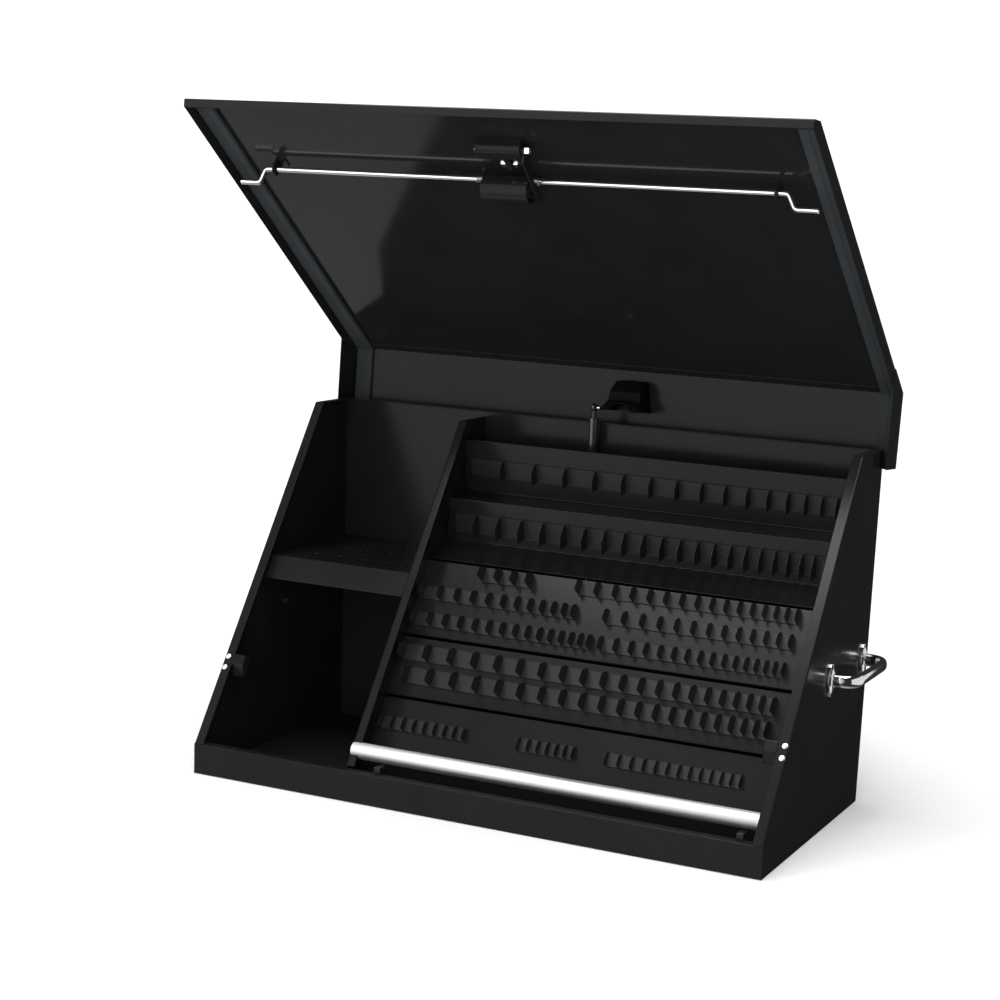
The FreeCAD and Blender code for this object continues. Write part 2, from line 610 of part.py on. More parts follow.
def knuckle(index):
    """One rolled knuckle, without its bore, and where it starts and ends."""
    x0 = -HINGE_LENGTH / 2 + index * pitch + KNUCKLE_GAP / 2
    x1 = x0 + pitch - KNUCKLE_GAP
    return rod_x(HINGE_Y, HINGE_Z, HINGE_KNUCKLE_RADIUS, x0, x1), x0, x1


def hinge_leaf(parity, y0, y1, z_near, z_far, z_axis):
    """A leaf and every second knuckle, bored for the pin."""
    pieces = [block(-HINGE_LENGTH / 2, HINGE_LENGTH / 2, y0, y1, min(z_near, z_far), max(z_near, z_far))]
    for index in range(parity, HINGE_KNUCKLES, 2):
        roll, x0, x1 = knuckle(index)
        pieces.append(roll)
        pieces.append(block(x0, x1, y0, y1, min(z_near, z_axis), max(z_near, z_axis)))
    leaf = join(pieces)
    return leaf.cut(rod_x(HINGE_Y, HINGE_Z, HINGE_PIN_RADIUS + HINGE_FIT, -HINGE_LENGTH, HINGE_LENGTH))


leaf_clear = HINGE_KNUCKLE_RADIUS + 0.4
nodes["hinge_leaf_box"] = hinge_leaf(0, BACK, BACK + HINGE_LEAF, HINGE_Z - leaf_clear,
                                     HINGE_Z - HINGE_LEAF_WIDTH, HINGE_Z - 1.0)
flange_inside = BACK + LID_REAR_GAP - SHEET
lid_leaf = hinge_leaf(1, flange_inside - HINGE_LEAF, flange_inside, HINGE_Z + leaf_clear,
                      HINGE_Z + HINGE_LEAF_WIDTH, HINGE_Z + 1.6)
nodes["hinge_leaf_lid"] = opened(lid_leaf)
nodes["hinge_pin"] = rod_x(HINGE_Y, HINGE_Z, HINGE_PIN_RADIUS, -HINGE_LENGTH / 2, HINGE_LENGTH / 2)


def domed(x, y, z, direction):
    """A low round rivet head that stands along the given direction."""
    head = Part.makeCylinder(RIVET_RADIUS, RIVET_HEIGHT, FreeCAD.Vector(x, y, z), direction)
    far = FreeCAD.Vector(x, y, z) + direction * RIVET_HEIGHT
    rims = [edge for edge in head.Edges if len(edge.Vertexes) == 1 and (edge.CenterOfMass - far).Length < 0.1]
    return head.makeFillet(RIVET_HEIGHT * 0.7, rims)


rivets = []
rivet_z = HINGE_Z - HINGE_LEAF_WIDTH * 0.6
for i in range(RIVET_COUNT):
    rivet_x = HINGE_LENGTH * ((i + 0.5) / RIVET_COUNT - 0.5)
    rivets.append(domed(rivet_x, BACK + HINGE_LEAF, rivet_z, FreeCAD.Vector(0, 1, 0)))
nodes["hinge_rivets"] = Part.makeCompound(rivets)

# Lid front panel: sheet with side flanges and a folded nose along its free edge
NOSE_TOP = front(LID_FRONT_LENGTH, 0.0)
NOSE_FOOT = (NOSE_TOP[0], NOSE_TOP[1] - NOSE_HEIGHT)
NOSE_END = (NOSE_FOOT[0] + NOSE_RETURN, NOSE_FOOT[1])
PANEL_HALF = LID_HALF - SHEET
CAP_FOOT_Z = LID_TOP_Z - CAP_PLATE_HEIGHT
knee_mitre = math.tan(0.5 * math.atan2(SLOPE_RISE, SLOPE_RUN)) * SHEET


def offset_front_sheet():
    """The front panel's section: from the mitred knee down the slope, round the nose to its return."""
    return bent_sheet([NOSE_END, NOSE_FOOT, NOSE_TOP, KNEE], -PANEL_HALF, PANEL_HALF, -SHEET)


front_sheet = offset_front_sheet()
knee_plane = block(-LID_HALF, LID_HALF, KNEE[0] - 40, KNEE[0] + 40, LID_TOP_Z - SHEET, LID_TOP_Z + 10)
front_sheet = front_sheet.cut(knee_plane)
flange_start = front_at(LID_TOP_Z - SHEET, 0.0)
flange_start_inner = front_at(LID_TOP_Z - SHEET, LID_FLANGE)
flange_end_inner = front_at(NOSE_END[1] + SHEET, LID_FLANGE)
side_flange = prism([flange_start, NOSE_TOP, NOSE_FOOT, NOSE_END, flange_end_inner, flange_start_inner],
                    PANEL_HALF - SHEET, PANEL_HALF)
left_flange = mirrored(side_flange)
lid_front = join([front_sheet, side_flange, left_flange])
inward = FreeCAD.Vector(0, INTO[0], INTO[1])


def square_pin(along, below0, below1, radius, x):
    """A round pin square to the lid's front panel, from one depth to another."""
    y, z = front(along, below0)
    return Part.makeCylinder(radius, below1 - below0, FreeCAD.Vector(x, y, z), inward)


lid_front = lid_front.cut(square_pin(BUTTON_ALONG, -1.0, 2 * SHEET, STEM_RADIUS + ROD_FIT, BUTTON_X))
nodes["lid_front_panel"] = opened(lid_front)

# Lid cap: the short top panel with its deep side plates, rear flange and the lap under the front panel
cap_top = block(-LID_HALF, LID_HALF, KNEE[0], BACK + LID_REAR_GAP, LID_TOP_Z - SHEET, LID_TOP_Z)
cap_edge = prism([front_at(LID_TOP_Z - SHEET, 0.0), KNEE, (KNEE[0] + 5.0, LID_TOP_Z),
                  (KNEE[0] + 5.0, LID_TOP_Z - SHEET)], -LID_HALF, LID_HALF)
rear_flange = block(-LID_HALF, LID_HALF, flange_inside, BACK + LID_REAR_GAP, HINGE_Z + leaf_clear, LID_TOP_Z)
plate_outline = [KNEE, (BACK + LID_REAR_GAP, LID_TOP_Z), (BACK + LID_REAR_GAP, CAP_FOOT_Z),
                 front_at(CAP_FOOT_Z, 0.0)]
cap_plate = prism(plate_outline, PANEL_HALF, LID_HALF)
lap = prism([front_at(LID_TOP_Z - SHEET * 0.7, SHEET), front(CAP_LAP, SHEET), front(CAP_LAP, 2 * SHEET),
             front_at(LID_TOP_Z - SHEET * 0.7, 2 * SHEET)], -PANEL_HALF + SHEET, PANEL_HALF - SHEET)
nodes["lid_cap"] = opened(join([cap_top, cap_edge, rear_flange, cap_plate, mirrored(cap_plate), lap]))

# Seals: ribbed strips along both side edges of the lid, carried round the knee
SEAL_OUTER = PANEL_HALF - SHEET - TOUCH_GAP
# the seals' faces stop just short of the catch screws' heads, which stand on the lands
seal_clear = CATCH_SCREW_RISE + TOUCH_GAP
seal_front_face = LID_FRONT_GAP - seal_clear
seal_top_face = BOX_HEIGHT + seal_clear
seal_rear = flange_inside - TOUCH_GAP
# behind the lap the strip lies on the sheet itself, so it starts clear of the lap's free edge
seal_back = 2 * SHEET + TOUCH_GAP
seal_line = [front(LID_FRONT_LENGTH - 6.0, seal_back), front_at(LID_TOP_Z - seal_back, seal_back),
             (seal_rear, LID_TOP_Z - seal_back), (seal_rear, seal_top_face),
             front_at(seal_top_face, seal_front_face), front(LID_FRONT_LENGTH - 6.0, seal_front_face)]
right_seal = prism(seal_line, SEAL_OUTER - SEAL_WIDTH, SEAL_OUTER)
nodes["right_lid_seal"] = opened(right_seal)
nodes["left_lid_seal"] = opened(mirrored(right_seal))

# Latch rod: one bar along the lid with a cranked tip at each end
def lid_vector(x, along, below):
    """A point in the shut lid's own frame as a vector."""
    y, z = front(along, below)
    return FreeCAD.Vector(x, y, z)


crank = math.radians(CRANK_ANGLE)
tip_along = ROD_ALONG - CRANK_REACH * math.cos(crank)
tip_below = ROD_BELOW + CRANK_REACH * math.sin(crank)
crank_x = ROD_STRAIGHT + 12.0


def rounded_path(points, radius):
    """Straight runs joined by arcs of one radius."""
    edges = []
    start = points[0]
    for i in range(1, len(points) - 1):
        before = (points[i] - points[i - 1]).normalize()
        after = (points[i + 1] - points[i]).normalize()
        turn = before.getAngle(after)
        cut = radius * math.tan(turn / 2)
        enter = points[i] - before * cut
        leave = points[i] + after * cut
        toward = (after - before).normalize()
        centre = points[i] + toward * (radius / math.cos(turn / 2))
        middle = centre - toward * radius
        edges.append(Part.makeLine(start, enter))
        edges.append(Part.Arc(enter, middle, leave).toShape())
        start = leave
    edges.append(Part.makeLine(start, points[-1]))
    return Part.Wire(edges)


def cranked_end(side):
    """The cranked end of the rod on one side, from a point on its straight run."""
    path = rounded_path([lid_vector(side * (ROD_STRAIGHT - 40.0), ROD_ALONG, ROD_BELOW),
                         lid_vector(side * (crank_x - 8.0), ROD_ALONG, ROD_BELOW),
                         lid_vector(side * (crank_x + 2.0), tip_along, tip_below),
                         lid_vector(side * ROD_TIP_END, tip_along, tip_below)], CRANK_BEND)
    start = lid_vector(side * (ROD_STRAIGHT - 40.0), ROD_ALONG, ROD_BELOW)
    circle = Part.makeCircle(ROD_RADIUS, start, FreeCAD.Vector(1, 0, 0))
    return path.makePipeShell([Part.Wire([circle])], True, False)


rod_y, rod_z = front(ROD_ALONG, ROD_BELOW)
rod_middle = rod_x(rod_y, rod_z, ROD_RADIUS, -ROD_STRAIGHT + 40.0, ROD_STRAIGHT - 40.0)
nodes["latch_rod"] = opened(join([rod_middle, cranked_end(1), cranked_end(-1)]))

# Rod guides: bent tabs that stand on the lid and hold the rod near its ends
def guide(x):
    """One guide plate with its foot on the lid's sheet."""
    outline = [front(ROD_ALONG - 9.0, SHEET), front(ROD_ALONG + 9.0, SHEET),
               front(ROD_ALONG + 9.0, ROD_BELOW + 2.0), front(ROD_ALONG + 5.0, ROD_BELOW + 9.0),
               front(ROD_ALONG - 5.0, ROD_BELOW + 9.0), front(ROD_ALONG - 9.0, ROD_BELOW + 2.0)]
    plate = prism(outline, x - GUIDE_THICKNESS / 2, x + GUIDE_THICKNESS / 2)
    foot = prism([front(ROD_ALONG - 9.0, SHEET), front(ROD_ALONG + 9.0, SHEET),
                  front(ROD_ALONG + 9.0, SHEET + 2.0), front(ROD_ALONG - 9.0, SHEET + 2.0)],
                 x - GUIDE_THICKNESS / 2 - 12.0, x + GUIDE_THICKNESS / 2)
    return join([plate, foot]).cut(rod_x(rod_y, rod_z, ROD_RADIUS + ROD_FIT, x - 20.0, x + 20.0))


nodes["rod_guides"] = opened(Part.makeCompound([guide(GUIDE_X), mirrored(guide(GUIDE_X))]))

# Release lever: a rolled plate welded to the middle of the rod, open towards the lid
lever_y, lever_z = front(ROD_ALONG - 8.0, ROD_BELOW + 9.5)


def lever_bar(y, z, radius, spare=0.0):
    """A round bar as long as the lever, or a little longer at both ends."""
    return rod_x(y, z, radius, LEVER_LEFT_X - spare, LEVER_RIGHT_X + spare)


lever_shell = lever_bar(lever_y, lever_z, LEVER_RADIUS)
lever_shell = lever_shell.cut(lever_bar(lever_y, lever_z, LEVER_RADIUS - LEVER_WALL, 1.0))
open_side = prism([front(ROD_ALONG - 40.0, -10.0), front(ROD_ALONG + 20.0, -10.0),
                   front(ROD_ALONG + 20.0, ROD_BELOW + 1.0), front(ROD_ALONG - 40.0, ROD_BELOW + 13.0)],
                  LEVER_LEFT_X - 1.0, LEVER_RIGHT_X + 1.0)
lever_shell = lever_shell.cut(open_side)
boss = lever_bar(rod_y, rod_z, LEVER_BOSS_RADIUS)
nodes["release_lever"] = opened(join([lever_shell, boss]).cut(lever_bar(rod_y, rod_z, ROD_RADIUS, 1.0)))

# Rocker bracket: a rounded sheet cover with an ear at each end, the left one holding the pin
hub_y, hub_z = front(ROCKER_ALONG, ROCKER_BELOW)
cover_back = ROCKER_ALONG + 14.0
cover_front = ROCKER_ALONG - 8.0
cover_round = 10.0


def cover_outline(inset):
    """The cover's outline in the YZ plane: up from the lid, round the top and forward to its free edge."""
    back_edge = cover_back - inset
    top = BRACKET_DEPTH - inset
    radius = cover_round - inset
    corner = math.radians(45.0)
    return (front(back_edge, SHEET), front(back_edge, top - radius),
            front(back_edge - radius + radius * math.cos(corner), top - radius + radius * math.sin(corner)),
            front(back_edge - radius, top), front(cover_front, top))


def outline_edges(points, x):
    """Straight, arc and straight edges through an outline's five points."""
    v = [FreeCAD.Vector(x, y, z) for y, z in points]
    return [Part.makeLine(v[0], v[1]), Part.Arc(v[1], v[2], v[3]).toShape(), Part.makeLine(v[3], v[4])]


def cover_solid(x0, x1, hollow):
    """The cover's rounded section carried along X, as a sheet or filled in down to the lid."""
    outer = outline_edges(cover_outline(0.0), x0)
    start = FreeCAD.Vector(x0, *cover_outline(0.0)[0])
    end = FreeCAD.Vector(x0, *cover_outline(0.0)[-1])
    if hollow:
        inner = outline_edges(cover_outline(BRACKET_SHEET), x0)
        inner_start = FreeCAD.Vector(x0, *cover_outline(BRACKET_SHEET)[0])
        inner_end = FreeCAD.Vector(x0, *cover_outline(BRACKET_SHEET)[-1])
        loop = outer + [Part.makeLine(end, inner_end)] + inner[::-1] + [Part.makeLine(inner_start, start)]
    else:
        heel = FreeCAD.Vector(x0, *front(cover_front, SHEET))
        loop = outer + [Part.makeLine(end, heel), Part.makeLine(heel, start)]
    face = Part.Face(Part.Wire(Part.__sortEdges__(loop)))
    return face.extrude(FreeCAD.Vector(x1 - x0, 0, 0))


cover = cover_solid(BRACKET_LEFT_X, BRACKET_RIGHT_X, True)
left_ear = cover_solid(BRACKET_LEFT_X, BRACKET_LEFT_X + BRACKET_SHEET, False)
right_ear = cover_solid(BRACKET_RIGHT_X - BRACKET_SHEET, BRACKET_RIGHT_X, False)
left_ear = left_ear.cut(rod_x(hub_y, hub_z, ROCKER_PIN_RADIUS, BRACKET_LEFT_X - 1, 0))
right_ear = right_ear.cut(rod_x(hub_y, hub_z, ROCKER_HUB_RADIUS + ROD_FIT, 0, BRACKET_RIGHT_X + 1))
nodes["rocker_bracket"] = opened(join([cover, left_ear, right_ear]))

# Rocker: a hub tube on the fixed pin, a tongue under the button's stem, and an arm outside the bracket
# that passes under the rod, with a finger that bears on the lever's edge
hub_left = BRACKET_LEFT_X + BRACKET_SHEET + TOUCH_GAP
arm_left = BRACKET_RIGHT_X + TOUCH_GAP * 4
arm_right = arm_left + ROCKER_PLATE
hub = rod_x(hub_y, hub_z, ROCKER_HUB_RADIUS, hub_left, arm_right)
finger_below = ROD_BELOW + 6.8
arm = prism([front(ROCKER_ALONG + 8.0, ROCKER_BELOW - 5.0), front(ROCKER_ALONG + 8.0, ROCKER_BELOW + 5.0),
             front(ROCKER_ALONG - 6.0, ROD_BELOW + 13.0), front(ROD_ALONG + 14.0, ROD_BELOW + 15.0),
             front(ROD_ALONG - 14.0, ROD_BELOW + 17.0), front(ROD_ALONG - 24.0, ROD_BELOW + 12.0),
             front(ROD_ALONG - 24.0, finger_below), front(ROD_ALONG - 16.0, finger_below),
             front(ROD_ALONG - 10.0, ROD_BELOW + 8.0), front(ROD_ALONG + 16.0, ROD_BELOW + 7.4),
             front(ROCKER_ALONG - 10.0, ROCKER_BELOW - 3.0)], arm_left, arm_right)
finger = prism([front(ROD_ALONG - 24.0, finger_below), front(ROD_ALONG - 16.0, finger_below),
                front(ROD_ALONG - 16.0, finger_below + 2.4), front(ROD_ALONG - 24.0, finger_below + 2.4)],
               LEVER_RIGHT_X - 7.0, arm_right)
tongue_half = STEM_RADIUS - 0.5
tongue_below = STEM_END + TOUCH_GAP
tongue = prism([front(ROCKER_ALONG - 4.0, tongue_below), front(BUTTON_ALONG - 7.0, tongue_below),
                front(BUTTON_ALONG - 7.0, tongue_below + ROCKER_PLATE),
                front(ROCKER_ALONG - 4.0, tongue_below + ROCKER_PLATE)],
               BUTTON_X - tongue_half, BUTTON_X + tongue_half)
rocker = join([hub, arm, finger, tongue])
rocker = rocker.cut(rod_x(hub_y, hub_z, ROCKER_PIN_RADIUS + ROD_FIT, hub_left - 1, arm_right + 1))
nodes["rocker"] = opened(rocker)


def hexagon(x0, x1, y, z, across):
    """A hexagonal blank along X."""
    radius = across / math.sqrt(3.0)
    corners = [(y + radius * math.cos(math.radians(60 * i)), z + radius * math.sin(math.radians(60 * i)))
               for i in range(6)]
    return prism(corners, x0, x1)


nut_left = arm_right + 2 * TOUCH_GAP
nut_right = nut_left + PIN_NUT_THICKNESS
pin_left = BRACKET_LEFT_X - 4.5
nodes["rocker_pin"] = opened(rod_x(hub_y, hub_z, ROCKER_PIN_RADIUS, pin_left, nut_right + 1.5))
pin_nut = hexagon(nut_left, nut_right, hub_y, hub_z, PIN_NUT_ACROSS)
nodes["rocker_nut"] = opened(pin_nut.cut(rod_x(hub_y, hub_z, ROCKER_PIN_RADIUS, nut_left - 1, nut_right + 1)))
clip_right = BRACKET_LEFT_X - TOUCH_GAP
clip_left = clip_right - 1.2
clip = rod_x(hub_y, hub_z, ROCKER_PIN_RADIUS * 2, clip_left, clip_right)
clip = clip.cut(rod_x(hub_y, hub_z, ROCKER_PIN_RADIUS, clip_left - 1, clip_right + 1))
mouth_end = ROCKER_BELOW - 10.0
clip_mouth = prism([front(ROCKER_ALONG - 2.0, ROCKER_BELOW), front(ROCKER_ALONG + 2.0, ROCKER_BELOW),
                    front(ROCKER_ALONG + 3.5, mouth_end), front(ROCKER_ALONG - 3.5, mouth_end)],
                   clip_left - 1, clip_right + 1)
nodes["retaining_clip"] = opened(clip.cut(clip_mouth))

# Torsion springs: wire wound round the rod at both ends of the lever, each with a leg down to the lid
def torsion_spring(start_x, side):
    """An unbroken helical wire on arcs of a quarter turn, closed by a straight leg."""
    spots = []
    for step in range(int(SPRING_TURNS * 8) + 1):
        angle = math.radians(45.0 * step)
        spots.append(lid_vector(start_x + side * SPRING_PITCH * step / 8.0,
                                ROD_ALONG + SPRING_RADIUS * math.cos(angle),
                                ROD_BELOW + SPRING_RADIUS * math.sin(angle)))
    edges = [Part.Arc(spots[i], spots[i + 1], spots[i + 2]).toShape() for i in range(0, len(spots) - 2, 2)]
    last = edges[-1]
    tangent = last.tangentAt(last.LastParameter)
    edges.append(Part.makeLine(spots[-1], spots[-1] + tangent * SPRING_LEG))
    path = Part.Wire(edges)
    start_tangent = edges[0].tangentAt(edges[0].FirstParameter)
    circle = Part.makeCircle(SPRING_WIRE, spots[0], start_tangent)
    gap = min((spots[i] - spots[j]).Length for i in range(len(spots)) for j in range(i + 7, len(spots)))
    print("torsion spring least gap to itself", round(gap - 2 * SPRING_WIRE, 3))
    return path.makePipeShell([Part.Wire([circle])], True, False)


spring_gap = SPRING_WIRE + 2 * TOUCH_GAP
nodes["right_torsion_spring"] = opened(torsion_spring(LEVER_RIGHT_X + spring_gap, 1))
nodes["left_torsion_spring"] = opened(torsion_spring(LEVER_LEFT_X - spring_gap, -1))

# Push button in a cup-shaped bezel, with its lock core, its stem and the cross bolt through the stem
button_bottom = -BEZEL_BASE - TOUCH_GAP - BUTTON_TRAVEL
button_top = button_bottom - BUTTON_THICKNESS
bezel_top = button_top + BUTTON_TRAVEL
bezel = square_pin(BUTTON_ALONG, bezel_top, 0.0, BEZEL_RADIUS, BUTTON_X)
bezel = bezel.cut(square_pin(BUTTON_ALONG, bezel_top - 1.0, -BEZEL_BASE, BUTTON_RADIUS + ROD_FIT, BUTTON_X))
bezel = bezel.cut(square_pin(BUTTON_ALONG, -2 * BEZEL_BASE, 1.0, STEM_RADIUS + ROD_FIT, BUTTON_X))
nodes["lock_bezel"] = opened(bezel)
core_bottom = button_bottom - 1.0
button = join([square_pin(BUTTON_ALONG, button_top, button_bottom, BUTTON_RADIUS, BUTTON_X),
               square_pin(BUTTON_ALONG, button_bottom - 0.5, STEM_END, STEM_RADIUS, BUTTON_X)])
core_bore = LOCK_CORE_RADIUS + ROD_FIT
button = button.cut(square_pin(BUTTON_ALONG, button_top - 1.0, core_bottom, core_bore, BUTTON_X))
bolt_y, bolt_z = front(BUTTON_ALONG, STEM_BOLT_BELOW)
head_right = BUTTON_X - STEM_RADIUS - 0.5
nut_start = BUTTON_X + STEM_RADIUS + 0.5
nut_end = nut_start + STEM_BOLT_HEAD
shank = rod_x(bolt_y, bolt_z, STEM_BOLT_RADIUS, head_right - 1.0, nut_end + 2.0)
nodes["push_button"] = opened(button.cut(shank))
core = square_pin(BUTTON_ALONG, button_top, core_bottom - 0.2, LOCK_CORE_RADIUS, BUTTON_X)
key_slot = prism([front(BUTTON_ALONG - 3.5, button_top - 1.0), front(BUTTON_ALONG + 3.5, button_top - 1.0),
                  front(BUTTON_ALONG + 3.5, button_top + 2.5), front(BUTTON_ALONG - 3.5, button_top + 2.5)],
                 BUTTON_X - 0.6, BUTTON_X + 0.6)
nodes["lock_core"] = opened(core.cut(key_slot))
bolt_head = hexagon(head_right - STEM_BOLT_HEAD, head_right, bolt_y, bolt_z, STEM_BOLT_ACROSS)
nodes["stem_bolt"] = opened(join([shank, bolt_head]))
nodes["stem_nut"] = opened(hexagon(nut_start, nut_end, bolt_y, bolt_z, STEM_BOLT_ACROSS).cut(shank))

# Gas strut: bracket and upper ball stud on the lid, tube, rod, lower ball stud and its plate on the back
top_y, top_z = BACK - STRUT_TOP_FORWARD, BOX_HEIGHT + STRUT_TOP_RISE
foot_y, foot_z = BACK - STRUT_FOOT_FORWARD, BOX_HEIGHT - STRUT_FOOT_DROP
strut_span = math.hypot(top_y - foot_y, top_z - foot_z)
strut_down = ((foot_y - top_y) / strut_span, (foot_z - top_z) / strut_span)
strut_axis = FreeCAD.Vector(0, strut_down[0], strut_down[1])


def strut_pin(start, end, radius):
    """A round piece along the strut, from one distance below the upper ball to another."""
    base = FreeCAD.Vector(STRUT_X, top_y + start * strut_down[0], top_z + start * strut_down[1])
    return Part.makeCylinder(radius, end - start, base, strut_axis)


def ball_socket(distance, toward):
    """An end fitting with a blind seat for a ball, open to its bracket, and a neck up or down the strut."""
    cup = strut_pin(distance - STRUT_SOCKET_RADIUS, distance + STRUT_SOCKET_RADIUS, STRUT_SOCKET_RADIUS)
    if toward > 0:
        neck = strut_pin(distance, distance + STRUT_NECK_LENGTH, 3.5)
    else:
        neck = strut_pin(distance - STRUT_NECK_LENGTH, distance, 3.5)
    centre = FreeCAD.Vector(STRUT_X, top_y + distance * strut_down[0], top_z + distance * strut_down[1])
    seat = BALL_RADIUS + TOUCH_GAP
    bore = rod_x(centre.y, centre.z, seat, STRUT_X - seat, STRUT_X + 2 * STRUT_SOCKET_RADIUS)
    return join([cup, neck]).cut(bore)


tube = strut_pin(STRUT_NECK_LENGTH, STRUT_NECK_LENGTH + STRUT_TUBE_LENGTH, STRUT_TUBE_RADIUS)
tube_bore = strut_pin(STRUT_NECK_LENGTH + 4.0, STRUT_NECK_LENGTH + STRUT_TUBE_LENGTH + 1.0,
                      STRUT_ROD_RADIUS + ROD_FIT)
nodes["strut_tube"] = join([tube, ball_socket(0.0, 1)]).cut(tube_bore)
rod_start = STRUT_NECK_LENGTH + STRUT_TUBE_LENGTH - 16.0
strut_rod = strut_pin(rod_start, strut_span - STRUT_NECK_LENGTH + 2.0, STRUT_ROD_RADIUS)
nodes["strut_rod"] = join([strut_rod, ball_socket(strut_span, -1)])


def ball_stud(y, z, x_end):
    """A ball on a short pin that points back to its bracket, turned in one piece about the pin's axis."""
    meet = math.sqrt(BALL_RADIUS ** 2 - STUD_RADIUS ** 2)
    near = FreeCAD.Vector(STRUT_X - BALL_RADIUS, y, z)
    crown = FreeCAD.Vector(STRUT_X, y, z + BALL_RADIUS)
    neck = FreeCAD.Vector(STRUT_X + meet, y, z + STUD_RADIUS)
    rim = FreeCAD.Vector(x_end, y, z + STUD_RADIUS)
    far = FreeCAD.Vector(x_end, y, z)
    outline = Part.Wire([Part.Arc(near, crown, neck).toShape(), Part.makeLine(neck, rim),
                         Part.makeLine(rim, far), Part.makeLine(far, near)])
    return Part.Face(outline).revolve(far, FreeCAD.Vector(1, 0, 0), 360.0)


BRACKET_INNER = STRUT_X + STRUT_SOCKET_RADIUS + 3.0
nodes["upper_ball_stud"] = ball_stud(top_y, top_z, BRACKET_INNER)
cap_inner_open = opened_point((0.0, LID_TOP_Z - SHEET))[0]
cap_line = [opened_point((KNEE[0] + 12.0, LID_TOP_Z - SHEET)), opened_point((BACK - 40.0, LID_TOP_Z - SHEET))]
bracket_outline = [cap_line[0], (top_y + 40.0, cap_line[0][1] - 2.0), (top_y + 20.0, top_z + 26.0),
                   (top_y + 20.0, top_z + 12.0), (top_y - 5.0, top_z + 2.0), (top_y - 8.0, top_z - 8.0),
                   (top_y + 8.0, top_z - 12.0), cap_line[1]]
web = prism(bracket_outline, BRACKET_INNER, BRACKET_INNER + BRACKET_WALL)
far_web = prism(bracket_outline, BRACKET_INNER + BRACKET_WIDTH - BRACKET_WALL, BRACKET_INNER + BRACKET_WIDTH)
hood = bent_sheet(bracket_outline[:5], BRACKET_INNER, BRACKET_INNER + BRACKET_WIDTH, BRACKET_WALL)
nodes["strut_bracket"] = join([web, far_web, hood]).cut(nodes["lid_cap"])
lower_plate_x = STRUT_X + STRUT_SOCKET_RADIUS + 5.0
plate_low = foot_z - FOOT_PLATE_HEIGHT / 2
plate_high = foot_z + FOOT_PLATE_HEIGHT / 2
back_inside = BACK - SHEET
lower_plate = block(lower_plate_x, lower_plate_x + BRACKET_WALL, foot_y - 8.0, back_inside,
                    plate_low, plate_high)
lower_foot = block(lower_plate_x, lower_plate_x + FOOT_PLATE_WIDTH, back_inside - BRACKET_WALL, back_inside,
                   plate_low, plate_high)
nodes["lower_strut_plate"] = join([lower_plate, lower_foot])
stub_end = STRUT_X + STRUT_SOCKET_RADIUS + STRUT_SIDE_GAP
nodes["lower_ball_stud"] = rod_x(foot_y, foot_z, STUD_RADIUS, stub_end, lower_plate_x)

os.makedirs("parts", exist_ok=True)
for name, shape in nodes.items():
    shape.exportStep("parts/%s.step" % name)
print("nodes", len(nodes))
for name, shape in nodes.items():
    if not shape.isValid() or shape.Volume <= 0:
        print("check", name, shape.isValid(), round(shape.Volume, 1), len(shape.Solids))
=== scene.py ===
import json
import math

import bmesh
import bpy
import numpy as np
from mathutils import Matrix, Vector

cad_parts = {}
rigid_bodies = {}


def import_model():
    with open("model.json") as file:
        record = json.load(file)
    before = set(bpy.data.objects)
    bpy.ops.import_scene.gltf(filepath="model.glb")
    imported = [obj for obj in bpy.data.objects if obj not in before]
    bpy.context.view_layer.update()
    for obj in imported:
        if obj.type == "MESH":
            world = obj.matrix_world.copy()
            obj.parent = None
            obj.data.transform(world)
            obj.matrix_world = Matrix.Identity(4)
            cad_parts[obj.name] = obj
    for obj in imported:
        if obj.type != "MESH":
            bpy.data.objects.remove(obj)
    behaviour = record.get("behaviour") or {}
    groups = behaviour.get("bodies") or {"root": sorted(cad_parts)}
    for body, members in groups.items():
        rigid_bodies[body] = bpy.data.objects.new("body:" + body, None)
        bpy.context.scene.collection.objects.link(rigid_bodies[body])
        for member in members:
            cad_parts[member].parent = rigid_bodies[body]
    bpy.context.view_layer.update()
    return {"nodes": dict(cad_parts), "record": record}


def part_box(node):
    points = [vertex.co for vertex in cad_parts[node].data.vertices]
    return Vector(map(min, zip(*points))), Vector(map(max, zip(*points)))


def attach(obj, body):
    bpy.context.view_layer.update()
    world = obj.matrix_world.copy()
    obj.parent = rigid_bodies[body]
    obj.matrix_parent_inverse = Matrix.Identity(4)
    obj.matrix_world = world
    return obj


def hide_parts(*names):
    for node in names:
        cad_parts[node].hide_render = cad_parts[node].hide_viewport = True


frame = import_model()


# Side panels: 1.5 mm mild steel, powder coated in gloss black. Each is one pressed blank whose slanted
# front edge and top edge are folded inwards as a narrow land, on which the lid's rubber seal sits.
SHEET = 0.0015
BEND = 0.0028
LAND = 0.016
side_low, side_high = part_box("right_side_panel")
HALF = side_high.x
BACK = side_high.y
HEIGHT = side_high.z
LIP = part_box("floor_pan")[1].z
TOP_DEPTH = 0.101
TOP_CORNER = np.array([BACK - TOP_DEPTH, HEIGHT])
SLOPE_FOOT = np.array([-BACK, LIP])
SLOPE_LENGTH = np.linalg.norm(SLOPE_FOOT - TOP_CORNER)
DOWN = (SLOPE_FOOT - TOP_CORNER) / SLOPE_LENGTH
INTO = np.array([-DOWN[1], DOWN[0]])


def slope(along, depth):
    """A (y, z) point: so far down the slanted front from its top corner, and so deep square to it."""
    return TOP_CORNER + along * DOWN + depth * INTO


